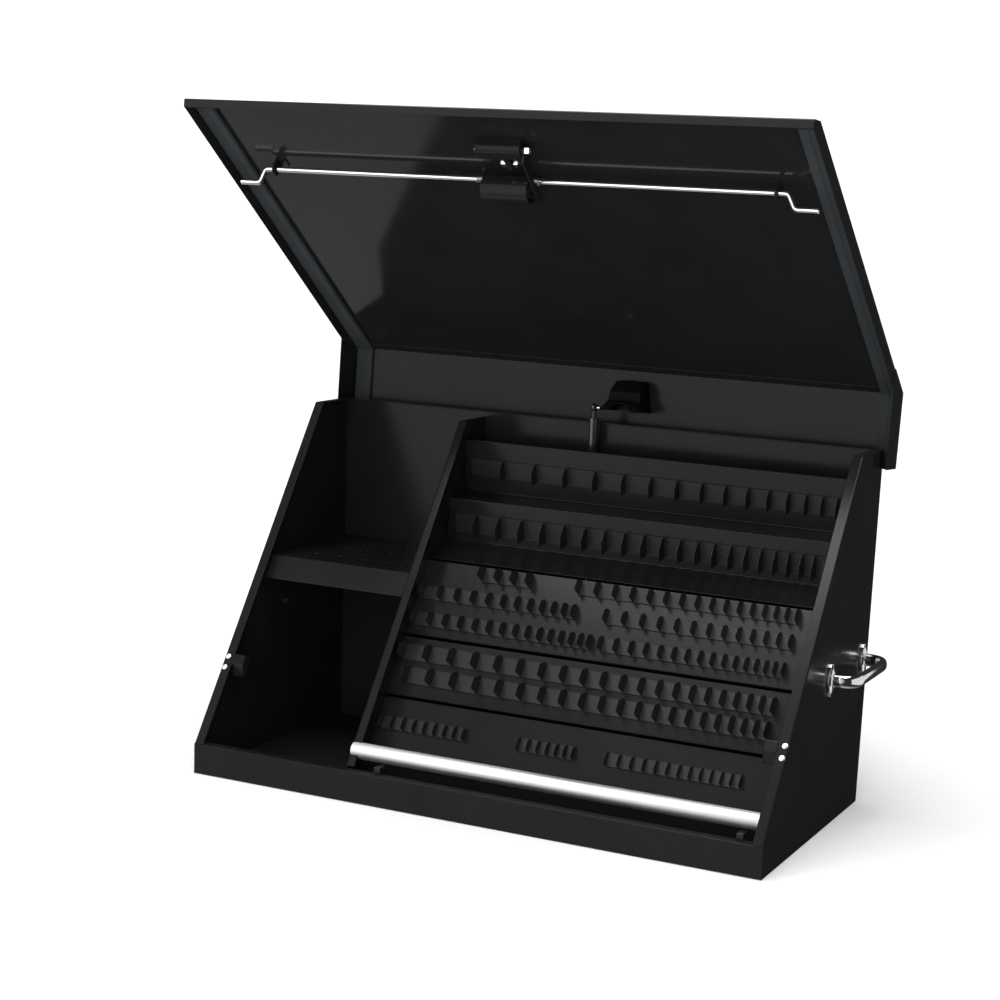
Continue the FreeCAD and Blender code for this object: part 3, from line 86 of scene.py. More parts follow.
def shaped(name, points, faces, edge=0.0004, closed=True):
    """An object from an array of points and a list of faces, with its sharp edges rounded a little."""
    mesh = bpy.data.meshes.new(name)
    mesh.from_pydata(np.asarray(points, float).reshape(-1, 3).tolist(), [], faces)
    if closed:
        work = bmesh.new()
        work.from_mesh(mesh)
        bmesh.ops.remove_doubles(work, verts=work.verts, dist=1e-7)
        bmesh.ops.recalc_face_normals(work, faces=work.faces)
        work.to_mesh(mesh)
        work.free()
    mesh.polygons.foreach_set("use_smooth", np.ones(len(mesh.polygons), bool))
    piece = bpy.data.objects.new(name, mesh)
    bpy.context.scene.collection.objects.link(piece)
    if edge:
        rounding = piece.modifiers.new("rounded edges", "BEVEL")
        rounding.width = edge
        rounding.segments = 2
        rounding.limit_method = "ANGLE"
        rounding.angle_limit = math.radians(32)
        rounding.use_clamp_overlap = True
        flat = piece.modifiers.new("flat faces stay flat", "WEIGHTED_NORMAL")
        flat.keep_sharp = True
        mesh.set_sharp_from_angle(angle=math.radians(60))
    else:
        mesh.set_sharp_from_angle(angle=math.radians(34))
    return piece


def rounded(points, radius, steps=7):
    """A line through the points whose corners are arcs of one radius, each turned evenly from run to run."""
    points = np.asarray(points, float)
    parts = [points[:1]]
    t = np.linspace(0.0, 1.0, steps)[:, None]
    for a, b, c in zip(points[:-2], points[1:-1], points[2:]):
        u = (a - b) / np.linalg.norm(a - b)
        v = (c - b) / np.linalg.norm(c - b)
        half = math.acos(np.clip(u @ v, -1, 1)) / 2
        turn = math.pi - 2 * half
        centre = b + (u + v) / np.linalg.norm(u + v) * radius / math.sin(half)
        start = b + u * radius / math.tan(half) - centre
        end = b + v * radius / math.tan(half) - centre
        parts.append(centre + (np.sin((1 - t) * turn) * start + np.sin(t * turn) * end) / math.sin(turn))
    parts.append(points[-1:])
    return np.concatenate(parts)


def beside(line, wall):
    """The line moved to its left by one wall, each point along the mitre of its two runs."""
    run = np.diff(line, axis=0)
    run /= np.linalg.norm(run, axis=1, keepdims=True)
    normal = np.stack([-run[:, 1], run[:, 0]], axis=1)
    both = np.vstack([normal[:1], normal]) + np.vstack([normal, normal[-1:]])
    return line + 2 * wall * both / (both * both).sum(axis=1, keepdims=True)


def at_x(x, line):
    """A (y, z) line as points in space at one place across the chest."""
    return np.column_stack([np.full(len(line), x), line])


def ribbon(name, line, wall, x0, x1, turned=None, edge=0.0004):
    """A folded sheet: the line and its parallel, one wall apart, carried along X from x0 to x1."""
    other = beside(line, wall)
    ring = np.vstack([line, other[::-1]])
    n, m = len(line), len(ring)
    points = np.vstack([at_x(x0, ring), at_x(x1, ring)])
    if turned is not None:
        points = turned(points)
    i = np.arange(m)
    j = (i + 1) % m
    faces = np.column_stack([i, j, j + m, i + m]).tolist()
    k = np.arange(n - 1)
    end = np.column_stack([k, k + 1, m - 2 - k, m - 1 - k])
    return shaped(name, points, faces + end.tolist() + (end + m).tolist(), edge)


def plate(name, outline, x0, x1, turned=None, edge=0.0004):
    """A flat plate: a (y, z) outline given a thickness along X."""
    m = len(outline)
    points = np.vstack([at_x(x0, outline), at_x(x1, outline)])
    if turned is not None:
        points = turned(points)
    i = np.arange(m)
    j = (i + 1) % m
    walls = np.column_stack([i, j, j + m, i + m]).tolist()
    return shaped(name, points, walls + [i.tolist(), (i + m)[::-1].tolist()], edge)


def joined(name, parts):
    """One object out of several that are made and fixed as one piece, each kept as its own shell."""
    mesh = bpy.data.meshes.new(name)
    work = bmesh.new()
    for part in parts:
        work.from_mesh(part.data)
    work.to_mesh(mesh)
    work.free()
    first = parts[0]
    old = [part.data for part in parts]
    first.data = mesh
    first.name = name
    for part in parts[1:]:
        bpy.data.objects.remove(part)
    for data in old:
        bpy.data.meshes.remove(data)
    return first


def folded_plate(name, path, mitre, rest, x_face, inward, width):
    """A plate whose edges along a path are folded over: the fold's arc and the land are the path moved
    inwards along its mitres, while x goes round the bend and across the land."""
    turn = np.linspace(0.0, math.pi / 2, 7)
    outer_in = np.append(BEND * (1 - np.sin(turn)), 0.0)
    outer_x = np.append(BEND * (1 - np.cos(turn)), width)
    inner = BEND - SHEET
    inner_in = np.append(BEND - inner * np.sin(turn), SHEET)
    inner_x = np.append(BEND - inner * np.cos(turn), width)
    inset = np.concatenate([outer_in, inner_in[::-1]])
    across = np.concatenate([outer_x, inner_x[::-1]])
    n, m = len(path), len(inset)
    grid = path[:, None, :] + inset[None, :, None] * mitre[:, None, :]
    x = x_face - inward * np.broadcast_to(across, (n, m))
    points = np.concatenate([x[..., None], grid], axis=2).reshape(-1, 3)
    index = np.arange(n * m).reshape(n, m)
    faces = np.stack([index[:-1, :-1], index[1:, :-1], index[1:, 1:], index[:-1, 1:]], axis=-1)
    faces = faces.reshape(-1, 4).tolist()
    k = np.arange(m // 2 - 1)
    end = np.column_stack([k, k + 1, m - 2 - k, m - 1 - k])
    faces += end.tolist() + (end + (n - 1) * m).tolist()
    base = n * m
    outline_rest = np.asarray(rest, float)
    outer = at_x(x_face, outline_rest)
    under = at_x(x_face - inward * SHEET, outline_rest)
    r = len(outline_rest)
    points = np.vstack([points, outer, under])
    outer_loop = index[:, 0].tolist() + list(range(base, base + r))
    under_loop = index[:, m - 1].tolist() + list(range(base + r, base + 2 * r))
    faces += [outer_loop, under_loop[::-1]]
    ring_a = outer_loop[n - 1:] + outer_loop[:1]
    ring_b = under_loop[n - 1:] + under_loop[:1]
    faces += [[ring_a[i], ring_a[i + 1], ring_b[i + 1], ring_b[i]] for i in range(len(ring_a) - 1)]
    return shaped(name, points, faces)


def powder_coat(name, colour=(0.0085, 0.0087, 0.0091), roughness=0.2, peel=0.06, grain=420.0, specular=0.3):
    """Baked black powder coat: near-black, glossy, with the fine orange peel and faint dust of the real coat."""
    coat = bpy.data.materials.new(name)
    coat.use_nodes = True
    tree = coat.node_tree
    shader = tree.nodes["Principled BSDF"]
    shader.inputs["Specular IOR Level"].default_value = specular
    place = tree.nodes.new("ShaderNodeTexCoord")
    cloud = tree.nodes.new("ShaderNodeTexNoise")
    cloud.inputs["Scale"].default_value = 9.0
    cloud.inputs["Detail"].default_value = 5.0
    tint = tree.nodes.new("ShaderNodeValToRGB")
    tint.color_ramp.elements[0].position = 0.3
    tint.color_ramp.elements[0].color = (*colour, 1)
    tint.color_ramp.elements[1].position = 0.8
    tint.color_ramp.elements[1].color = (*(c * 1.35 for c in colour), 1)
    gloss = tree.nodes.new("ShaderNodeMapRange")
    gloss.inputs["To Min"].default_value = roughness * 0.85
    gloss.inputs["To Max"].default_value = roughness * 1.2
    skin_noise = tree.nodes.new("ShaderNodeTexNoise")
    skin_noise.inputs["Scale"].default_value = grain
    skin_noise.inputs["Detail"].default_value = 3.0
    bump = tree.nodes.new("ShaderNodeBump")
    bump.inputs["Strength"].default_value = peel
    bump.inputs["Distance"].default_value = 0.0006
    links = tree.links
    links.new(place.outputs["Object"], cloud.inputs["Vector"])
    links.new(place.outputs["Object"], skin_noise.inputs["Vector"])
    links.new(cloud.outputs["Fac"], tint.inputs["Fac"])
    links.new(cloud.outputs["Fac"], gloss.inputs["Value"])
    links.new(tint.outputs["Color"], shader.inputs["Base Color"])
    links.new(gloss.outputs["Result"], shader.inputs["Roughness"])
    links.new(skin_noise.outputs["Fac"], bump.inputs["Height"])
    links.new(bump.outputs["Normal"], shader.inputs["Normal"])
    return coat


gloss_coat = powder_coat("gloss black powder coat")


def dressed(piece, material, body, slot, *nodes):
    """Gives a finished piece its material and body, and hides the nodes that it stands for; the record slot is not
    used.
    """
    piece.data.materials.clear()
    piece.data.materials.append(material)
    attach(piece, body)
    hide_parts(*nodes)
    return piece


corner = rounded([SLOPE_FOOT, TOP_CORNER, (BACK, HEIGHT)], 0.004)
corner_out = beside(corner, -1.0) - corner
corner_out[0] = (1.0 / INTO[0], 0.0)
corner_out[-1] = (0.0, -1.0)
for side, node in ((1, "right_side_panel"), (-1, "left_side_panel")):
    panel = folded_plate(node.replace("panel", "sheet"), corner, corner_out,
                         [(BACK, 0.0), (-BACK, 0.0), (-BACK, LIP)], side * HALF, side, LAND)
    dressed(panel, gloss_coat, "box", "black_powder_coat", node)


# Back panel and floor pan: the same sheet, spot-welded between the sides. The floor pan turns up in front
# as the lip that the lid shuts over, and that lip has a coarser, sparkling texture coat.
INNER = HALF - SHEET
back_line = rounded([(BACK, 0.0), (BACK, HEIGHT), (BACK - 0.010, HEIGHT)], BEND)
back_sheet = ribbon("back_sheet", back_line, SHEET, -INNER, INNER)
dressed(back_sheet, gloss_coat, "box", "black_powder_coat", "back_panel")
texture_coat = powder_coat("textured black powder coat", (0.0085, 0.0087, 0.0091), 0.34, 0.5, 900.0, 0.15)
floor_line = rounded([(BACK - SHEET, 0.0), (-BACK, 0.0), (-BACK, LIP), (-BACK + LAND, LIP)], BEND)
floor_sheet = ribbon("floor_and_lip", floor_line, -SHEET, -INNER, INNER)
dressed(floor_sheet, texture_coat, "box", "textured_black", "floor_pan")


# Divider: one sheet that stands between the two bays, its slanted front edge folded to the right.
DIVIDER_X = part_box("divider")[0].x
DIVIDER_SET_BACK = 0.0125
DIVIDER_FLANGE = 0.014
DIVIDER_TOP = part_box("divider")[1].z


def slope_at(z, depth):
    """The point at height z on a line that runs at some depth behind the slanted front."""
    return slope((HEIGHT + depth * INTO[1] - z) / -DOWN[1], depth)


divider_foot = LIP + 0.003
fold_clear = -BACK + LAND + 0.002
divider_front = np.array([slope_at(divider_foot, DIVIDER_SET_BACK), slope_at(DIVIDER_TOP, DIVIDER_SET_BACK)])
divider_in = np.array([(1.0 / INTO[0], 0.0), (1.0 / INTO[0], 0.0)])
divider_sheet = folded_plate("divider_sheet", divider_front, divider_in,
                             [(BACK - SHEET, DIVIDER_TOP), (BACK - SHEET, SHEET), (fold_clear, SHEET),
                              (fold_clear, divider_foot)], DIVIDER_X, -1, DIVIDER_FLANGE)
dressed(divider_sheet, gloss_coat, "box", "black_powder_coat", "divider")


# Holed shelf: a punched plate in the left bay, with a deep front lip that hangs parallel to the slope and
# a small safety hem. Eighteen plain round holes hold what hangs through it.
shelf_low, shelf_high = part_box("holed_shelf")
SHELF_FRONT = -0.019
SHELF_LIP = 0.040
HOLE_RADIUS = 0.007
HOLE_ROWS = 3
HOLE_COLUMNS = 6


def punched(name, x0, x1, y0, y1, z, thickness, spots, radius):
    """A flat plate with round holes, filled between a rectangle and circles, then given its thickness."""
    curve = bpy.data.curves.new(name, "CURVE")
    curve.dimensions = "2D"
    curve.fill_mode = "BOTH"
    curve.extrude = thickness / 2
    turn = np.linspace(0, 2 * math.pi, 33)[:-1]
    loops = [np.array([(x0, y0), (x1, y0), (x1, y1), (x0, y1)])]
    loops += [np.column_stack([x + radius * np.cos(turn), y + radius * np.sin(turn)]) for x, y in spots]
    for loop in loops:
        spline = curve.splines.new("POLY")
        spline.points.add(len(loop) - 1)
        spline.points.foreach_set("co", np.column_stack([loop, np.zeros(len(loop)), np.ones(len(loop))]).ravel())
        spline.use_cyclic_u = True
    flat = bpy.data.objects.new(name, curve)
    bpy.context.scene.collection.objects.link(flat)
    mesh = bpy.data.meshes.new_from_object(flat)
    bpy.data.objects.remove(flat)
    mesh.transform(Matrix.Translation((0, 0, z)))
    work = bmesh.new()
    work.from_mesh(mesh)
    bmesh.ops.remove_doubles(work, verts=work.verts, dist=1e-7)
    bmesh.ops.recalc_face_normals(work, faces=work.faces)
    points = np.array([v.co[:] for v in work.verts])
    faces = [[v.index for v in f.verts] for f in work.faces]
    work.free()
    bpy.data.meshes.remove(mesh)
    return shaped(name, points, faces)


bay = DIVIDER_X + INNER
row, column = np.meshgrid(np.arange(HOLE_ROWS), np.arange(HOLE_COLUMNS), indexing="ij")
hole_x = -INNER + bay * (column + 0.5 + 0.2 * (row % 2 - 0.5)) / HOLE_COLUMNS
hole_y = SHELF_FRONT + (BACK - SHELF_FRONT) * (row + 0.6) / (HOLE_ROWS + 0.3)
holes = np.column_stack([hole_x.ravel(), hole_y.ravel()])
SHELF_Z = shelf_high.z
shelf_plate = punched("shelf_plate", -INNER, DIVIDER_X, SHELF_FRONT + BEND, BACK - SHEET, SHELF_Z - SHEET / 2,
                      SHEET, holes, HOLE_RADIUS)
hem = np.array([SHELF_FRONT, SHELF_Z]) + SHELF_LIP * DOWN
lip_line = rounded([(SHELF_FRONT + BEND + 0.001, SHELF_Z), (SHELF_FRONT, SHELF_Z), hem + 0.001 * DOWN,
                    hem + (0.003, -0.0009)], 0.0014)
shelf_lip = ribbon("shelf_lip", lip_line, SHEET * 0.9, -INNER, DIVIDER_X)
shelf = joined("shelf_sheet", [shelf_plate, shelf_lip])
dressed(shelf, gloss_coat, "box", "black_powder_coat", "holed_shelf")


# Stepped rack: one sheet at the back of the right bay, folded into two steps that lean back ten degrees,
# its top edge hemmed. It is spot-welded to the divider and to the right side.
RIGHT_BAY = DIVIDER_X + SHEET
RACK_LEAN = math.tan(math.radians(10.0))
RACK_TOP = np.array([BACK - 0.070, HEIGHT - 0.039])
RACK_STEP = np.array([BACK - 0.118, HEIGHT - 0.122])
RACK_FOOT_Z = HEIGHT - 0.194
STEP_DROP = 0.004
TIER_DEPTH = 0.060
TIER_TOP = 0.222
TIER_STEP_ONE = TIER_TOP + 0.126
TIER_STEP_TWO = TIER_STEP_ONE + 0.100
TIER_FOOT = SLOPE_LENGTH - 0.05381
tier_top = slope(TIER_TOP, TIER_DEPTH)
step_z = RACK_STEP[1] - STEP_DROP
rack_line = [RACK_TOP + (0.0042, -0.006), RACK_TOP + (0.0042, 0.0), RACK_TOP,
             (RACK_TOP[0] + RACK_LEAN * (RACK_TOP[1] - RACK_STEP[1]), RACK_STEP[1]),
             (RACK_STEP[0], step_z), (RACK_STEP[0] + RACK_LEAN * (step_z - RACK_FOOT_Z), RACK_FOOT_Z),
             tier_top + 0.004]
rack_sheet = ribbon("stepped_rack_sheet", rounded(rack_line, 0.0017, 6), SHEET, RIGHT_BAY, INNER)
dressed(rack_sheet, gloss_coat, "box", "black_powder_coat", "stepped_rack")


# Tiers: three sheets parallel to the slanted front, one above the other. Each has a lip along its lower
# edge, and the lowest one is turned down to the floor.
TIER_LIP = 0.008
TIER_LAP = 0.003


def tier(name, along0, along1, foot, node):
    """A tier's section from its upper edge to its lower one, where it turns out as a lip or down to the floor."""
    line = rounded([slope(along0, TIER_DEPTH), slope(along1, TIER_DEPTH), foot], 0.003)
    dressed(ribbon(name, line[::-1], SHEET, RIGHT_BAY, INNER), gloss_coat, "box", "black_powder_coat", node)


tier("upper_tier_sheet", TIER_TOP, TIER_STEP_ONE, slope(TIER_STEP_ONE, TIER_DEPTH - TIER_LIP), "upper_tier")
tier("middle_tier_sheet", TIER_STEP_ONE + TIER_LAP, TIER_STEP_TWO, slope(TIER_STEP_TWO, TIER_DEPTH - TIER_LIP),
     "middle_tier")
tier_foot = slope(TIER_FOOT, TIER_DEPTH)
tier("lower_tier_sheet", TIER_STEP_TWO + TIER_LAP, TIER_FOOT, np.array([tier_foot[0], SHEET]), "lower_tier")


# Fins: strips of satin black plastic with upright fins, between which the tools stand. They are pushed on
# to the rack's steps and the tiers. Their spacing shrinks from left to right with the sizes they hold.
FIN_THICKNESS = 0.0012
FIN_BASE = 0.0015
TOUCH = 0.0003
LEFT_END = RIGHT_BAY + 0.010
RIGHT_END = HALF - LAND - 0.036
COMB_GAP_X = 0.108


def fin_places(x0, x1, count, shrink):
    """Places from x0 to x1 whose steps shrink evenly."""
    steps = 1.0 - shrink * np.arange(count) / (count - 1)
    return x0 + (x1 - x0) * np.concatenate([[0.0], np.cumsum(steps)]) / steps.sum()


def comb(name, origin, run, out, places, length, height):
    """A strip with fins: one fin outline, wider at its root, repeated at every place, on a thin base."""
    outline = rounded([(0.0, 0.0), (length, 0.0), (length, height * 0.45), (length * 0.62, height),
                       (0.0, height), (0.0, 0.0)], 0.0024, 4)[:-1]
    half = FIN_THICKNESS * (0.5 - 0.16 * outline[:, 1] / height)
    flat = origin + outline[:, :1] * run + outline[:, 1:] * out
    sides = np.stack([np.column_stack([-half, flat]), np.column_stack([half, flat])])
    fins = places[:, None, None, None] * np.array([1.0, 0.0, 0.0]) + sides[None]
    n, m = len(places), len(outline)
    i = np.arange(m)
    walls = np.column_stack([i, (i + 1) % m, (i + 1) % m + m, i + m])
    starts = np.arange(n) * 2 * m
    faces = (walls[None] + starts[:, None, None]).reshape(-1, 4).tolist()
    faces += (i[None] + starts[:, None]).tolist() + (i[None, ::-1] + m + starts[:, None]).tolist()
    blades = shaped(name, fins.reshape(-1, 3), faces, 0)
    base = [origin, origin + length * run, origin + length * run + FIN_BASE * out, origin + FIN_BASE * out]
    strip = plate(name + "_base", np.array(base), places[0] - FIN_THICKNESS, places[-1] + FIN_THICKNESS, None, 0)
    return joined(name, [blades, strip])


black_plastic = powder_coat("satin black plastic", (0.011, 0.0112, 0.0118), 0.36, 0.25, 300.0, 0.4)
rack_up = np.array([-math.sin(math.radians(10.0)), math.cos(math.radians(10.0))])
rack_out = np.array([-rack_up[1], rack_up[0]])
rear_foot = np.array(rack_line[3]) + 0.026 * np.array([-RACK_LEAN, 1.0]) + TOUCH * rack_out
front_foot = np.array(rack_line[5]) + 0.014 * np.array([-RACK_LEAN, 1.0]) + TOUCH * rack_out
rear_fins = comb("rear_fins", rear_foot, rack_up, rack_out, fin_places(LEFT_END, RIGHT_END + 0.030, 16, 0.65),
                 0.028, 0.020)
dressed(rear_fins, black_plastic, "box", "black_plastic", "rear_rack_fins")
front_fins = comb("front_fins", front_foot, rack_up, rack_out, fin_places(LEFT_END, RIGHT_END + 0.030, 22, 0.6),
                  0.032, 0.024)
dressed(front_fins, black_plastic, "box", "black_plastic", "front_rack_fins")


def tier_combs(name, node, rows):
    """The combs of one tier; a row gives its place down the slope, its ends, count, shrink, length and height."""
    made = []
    for along, x0, x1, count, shrink, length, height in rows:
        origin = slope(along + length / 2, TIER_DEPTH - SHEET - TOUCH)
        made.append(comb(name, origin, -DOWN, -INTO, fin_places(x0, x1, count, shrink), length, height))
    dressed(joined(name, made), black_plastic, "box", "black_plastic", node)


first_row, second_row, third_row = TIER_TOP + 0.014, TIER_TOP + 0.054, TIER_STEP_ONE - 0.028
tier_combs("upper_fins", "upper_tier_fins", [
    (first_row, LEFT_END + 0.090, LEFT_END + 0.170, 3, 0.1, 0.022, 0.026),
    (first_row, COMB_GAP_X - 0.046, RIGHT_END, 15, 0.5, 0.022, 0.022),
    (second_row, LEFT_END, COMB_GAP_X - 0.042, 11, 0.5, 0.022, 0.022),
    (second_row, COMB_GAP_X + 0.010, RIGHT_END, 12, 0.4, 0.022, 0.022),
    (third_row, LEFT_END, COMB_GAP_X - 0.004, 14, 0.5, 0.022, 0.022),
    (third_row, COMB_GAP_X + 0.014, RIGHT_END, 15, 0.5, 0.022, 0.022)])
tier_combs("middle_fins", "middle_tier_fins", [
    (TIER_STEP_ONE + 0.028, LEFT_END, RIGHT_END, 20, 0.6, 0.026, 0.026),
    (TIER_STEP_TWO - 0.035, LEFT_END + 0.018, RIGHT_END, 20, 0.6, 0.026, 0.026)])
last_row = (TIER_STEP_TWO + TIER_FOOT) / 2 - 0.002
tier_combs("lower_fins", "lower_tier_fins", [
    (last_row, LEFT_END, LEFT_END + 0.140, 8, 0.2, 0.020, 0.014),
    (last_row, COMB_GAP_X - 0.068, COMB_GAP_X + 0.020, 6, 0.2, 0.020, 0.014),
    (last_row, COMB_GAP_X + 0.072, RIGHT_END - 0.020, 12, 0.3, 0.020, 0.014)])


# Front bar: a 25 mm steel tube with a satin, lengthwise-ground finish, on two small bent tabs that stand
# on the floor's front lip.
bar_low, bar_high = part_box("front_bar")
BAR_RADIUS = (bar_high.z - bar_low.z) / 2
BAR_WALL = 0.0015
BAR_CENTRE = np.array([(bar_low.y + bar_high.y) / 2, (bar_low.z + bar_high.z) / 2])


def lathed(name, profile, origin, axis, sides=48, edge=0, ring=False):
    """A turned piece: a profile of (distance along the axis, radius) pairs swept once round the axis."""
    axis = np.asarray(axis, float) / np.linalg.norm(axis)
    helper = np.array([0.0, 0.0, 1.0]) if abs(axis[2]) < 0.9 else np.array([0.0, 1.0, 0.0])
    first = np.cross(axis, helper)
    first /= np.linalg.norm(first)
    second = np.cross(axis, first)
    profile = np.asarray(profile, float)
    angle = np.linspace(0, 2 * math.pi, sides + 1)[:-1]
    spoke = np.cos(angle)[:, None] * first + np.sin(angle)[:, None] * second
    points = (np.asarray(origin) + profile[:, None, :1] * axis + profile[:, None, 1:] * spoke[None])
    n = len(profile)
    index = np.arange(n * sides).reshape(n, sides)
    index = np.vstack([index, index[:1]]) if ring else index
    over = np.roll(index, -1, axis=1)
    faces = np.stack([index[:-1], over[:-1], over[1:], index[1:]], axis=-1).reshape(-1, 4).tolist()
    if not ring:
        faces += [index[0][::-1].tolist(), index[-1].tolist()]
    return shaped(name, points.reshape(-1, 3), faces, edge)


def rounded_loop(points, radius, steps=5):
    """A closed outline whose corners are all arcs of one radius."""
    points = np.asarray(points, float)
    middle = (points[0] + points[-1]) / 2
    return rounded(np.vstack([middle, points, middle]), radius, steps)[:-1]


def metal(name, colour, roughness, streak=None, anisotropy=0.0, bump=0.02, spread=0.25):
    """Bare or plated metal: its roughness wanders a little, with fine lines along one axis if it is ground."""
    plate_finish = bpy.data.materials.new(name)
    plate_finish.use_nodes = True
    tree = plate_finish.node_tree
    shader = tree.nodes["Principled BSDF"]
    shader.inputs["Metallic"].default_value = 1.0
    shader.inputs["Anisotropic"].default_value = anisotropy
    place = tree.nodes.new("ShaderNodeTexCoord")
    stretch = tree.nodes.new("ShaderNodeMapping")
    stretch.inputs["Scale"].default_value = streak or (1.0, 1.0, 1.0)
    noise = tree.nodes.new("ShaderNodeTexNoise")
    noise.inputs["Scale"].default_value = 260.0
    noise.inputs["Detail"].default_value = 4.0
    tint = tree.nodes.new("ShaderNodeValToRGB")
    tint.color_ramp.elements[0].position = 0.25
    tint.color_ramp.elements[0].color = (*(c * 0.86 for c in colour), 1)
    tint.color_ramp.elements[1].position = 0.75
    tint.color_ramp.elements[1].color = (*colour, 1)
    gloss = tree.nodes.new("ShaderNodeMapRange")
    gloss.inputs["To Min"].default_value = roughness * (1 - spread)
    gloss.inputs["To Max"].default_value = roughness * (1 + spread)
    relief = tree.nodes.new("ShaderNodeBump")
    relief.inputs["Strength"].default_value = bump
    relief.inputs["Distance"].default_value = 0.0003
    links = tree.links
    links.new(place.outputs["Object"], stretch.inputs["Vector"])
    links.new(stretch.outputs["Vector"], noise.inputs["Vector"])
    links.new(noise.outputs["Fac"], tint.inputs["Fac"])
    links.new(noise.outputs["Fac"], gloss.inputs["Value"])
    links.new(noise.outputs["Fac"], relief.inputs["Height"])
    links.new(tint.outputs["Color"], shader.inputs["Base Color"])
    links.new(gloss.outputs["Result"], shader.inputs["Roughness"])
    links.new(relief.outputs["Normal"], shader.inputs["Normal"])
    return plate_finish


ground_tube = metal("satin ground steel", (0.92, 0.92, 0.91), 0.55, (0.02, 1.0, 1.0), 0.2, 0.08)
bar_length = INNER - RIGHT_BAY
bar_profile = rounded_loop([(0.0, BAR_RADIUS - BAR_WALL), (bar_length, BAR_RADIUS - BAR_WALL),
                            (bar_length, BAR_RADIUS), (0.0, BAR_RADIUS)], 0.0005, 4)
front_bar = lathed("front_tube", bar_profile, (RIGHT_BAY, *BAR_CENTRE), (1, 0, 0), 72, ring=True)
dressed(front_bar, ground_tube, "box", "polished_tube", "front_bar")
TAB_WIDTH = 0.010
tab_top = BAR_CENTRE[1] - BAR_RADIUS
tab_front = -BACK + LAND - 0.005
tab_line = rounded([(tab_front, LIP), (tab_front, tab_top), (BAR_CENTRE[0] + 0.003, tab_top)], 0.0022)
tab_left, tab_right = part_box("bar_tabs")[0].x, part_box("bar_tabs")[1].x
tabs = [ribbon("tab", tab_line, -SHEET, x, x + TAB_WIDTH) for x in (tab_left, tab_right - TAB_WIDTH)]
dressed(joined("bar_tab_sheets", tabs), gloss_coat, "box", "black_powder_coat", "bar_tabs")


# Catches: a black bent hook block behind each land, which the rod's cranked tip drops behind, held by two
# zinc-plated pan-head screws with cross recesses.
catch_low, catch_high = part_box("right_catch")
LID_OVERHANG = 0.01219
FRONT_LENGTH = SLOPE_LENGTH + LID_OVERHANG
ROD_ALONG = FRONT_LENGTH - 0.126
CATCH_ALONG = ROD_ALONG - 0.038
CATCH_END = CATCH_ALONG + 0.030
CATCH_DEPTH = 0.0172
CATCH_RAMP = 0.014
CATCH_WALL = 0.002
catch_inner, catch_outer = HALF - LAND - 0.020, HALF - LAND - TOUCH
catch_line = rounded([slope(CATCH_ALONG, CATCH_DEPTH), slope(CATCH_ALONG, 0.0), slope(CATCH_END - CATCH_RAMP, 0.0),
                      slope(CATCH_END, CATCH_RAMP), slope(CATCH_END, CATCH_DEPTH)], 0.0021)
for side, node in ((1, "right_catch"), (-1, "left_catch")):
    shell = ribbon("shell", catch_line, CATCH_WALL, side * catch_inner, side * catch_outer)
    cheek = plate("cheek", catch_line, side * (catch_inner + 0.0002), side * (catch_inner + CATCH_WALL))
    tab = plate("tab", np.array([slope(CATCH_ALONG, SHEET + TOUCH), slope(CATCH_END - CATCH_RAMP, SHEET + TOUCH),
                                 slope(CATCH_END - CATCH_RAMP, SHEET + CATCH_WALL),
                                 slope(CATCH_ALONG, SHEET + CATCH_WALL)]),
                side * (catch_outer - 0.003), side * (INNER - TOUCH))
    hook = joined(node.replace("catch", "hook"), [shell, cheek, tab])
    dressed(hook, gloss_coat, "box", "black_powder_coat", node)

SCREW_HEAD = 0.0046
SCREW_RISE = 0.0015
SCREW_SPACING = 0.018
SCREW_X = HALF - LAND / 2 + 0.002


def cross_screw(name, origin, out):
    """A pan head: rings of a low dome whose height dips along two crossed bars, the driver's recess."""
    out = np.asarray(out, float)
    sideways = np.array([1.0, 0.0, 0.0])
    along = np.cross(out, sideways)
    radius = np.linspace(0.0, 1.0, 22)[:, None]
    angle = np.linspace(0, 2 * math.pi, 73)[None, :-1]
    u, v = radius * np.cos(angle), radius * np.sin(angle)
    dome = SCREW_RISE * np.sqrt(np.clip(1.0 - radius ** 4, 0.0, 1.0)) * np.ones_like(u)
    arm = np.minimum(np.abs(u), np.abs(v))
    reach = np.maximum(np.abs(u), np.abs(v))
    dip = np.clip((0.13 - arm) / 0.05, 0, 1) * np.clip((0.62 - reach) / 0.08, 0, 1)
    rise = dome - 0.0009 * dip
    rings = (np.asarray(origin) + SCREW_HEAD * (u[..., None] * sideways + v[..., None] * along)
             + rise[..., None] * out)
    n, m = u.shape
    index = np.arange(n * m).reshape(n, m)
    over = np.roll(index, -1, axis=1)
    faces = np.stack([index[:-1], over[:-1], over[1:], index[1:]], axis=-1).reshape(-1, 4).tolist()
    return shaped(name, rings.reshape(-1, 3), faces + [index[-1].tolist()], 0)


zinc_screw = metal("bright zinc screws", (0.92, 0.93, 0.9), 0.3, None, 0.0, 0.05)
screws = []
for place in (CATCH_ALONG + 0.015 - SCREW_SPACING / 2, CATCH_ALONG + 0.015 + SCREW_SPACING / 2):
    for side in (1, -1):
        screws.append(cross_screw("screw", (side * SCREW_X, *slope(place, 0.0)), (0.0, *-INTO)))
        shank = lathed("shank", [(-0.008, 0.0), (-0.0075, 0.0022), (-0.0003, 0.0025), (0.0002, 0.0)],
                       (side * SCREW_X, *slope(place, 0.0)), (0.0, *-INTO), 20)
        screws.append(shank)
dressed(joined("pan_head_screws", screws), zinc_screw, "box", "bright_zinc", "catch_screws")


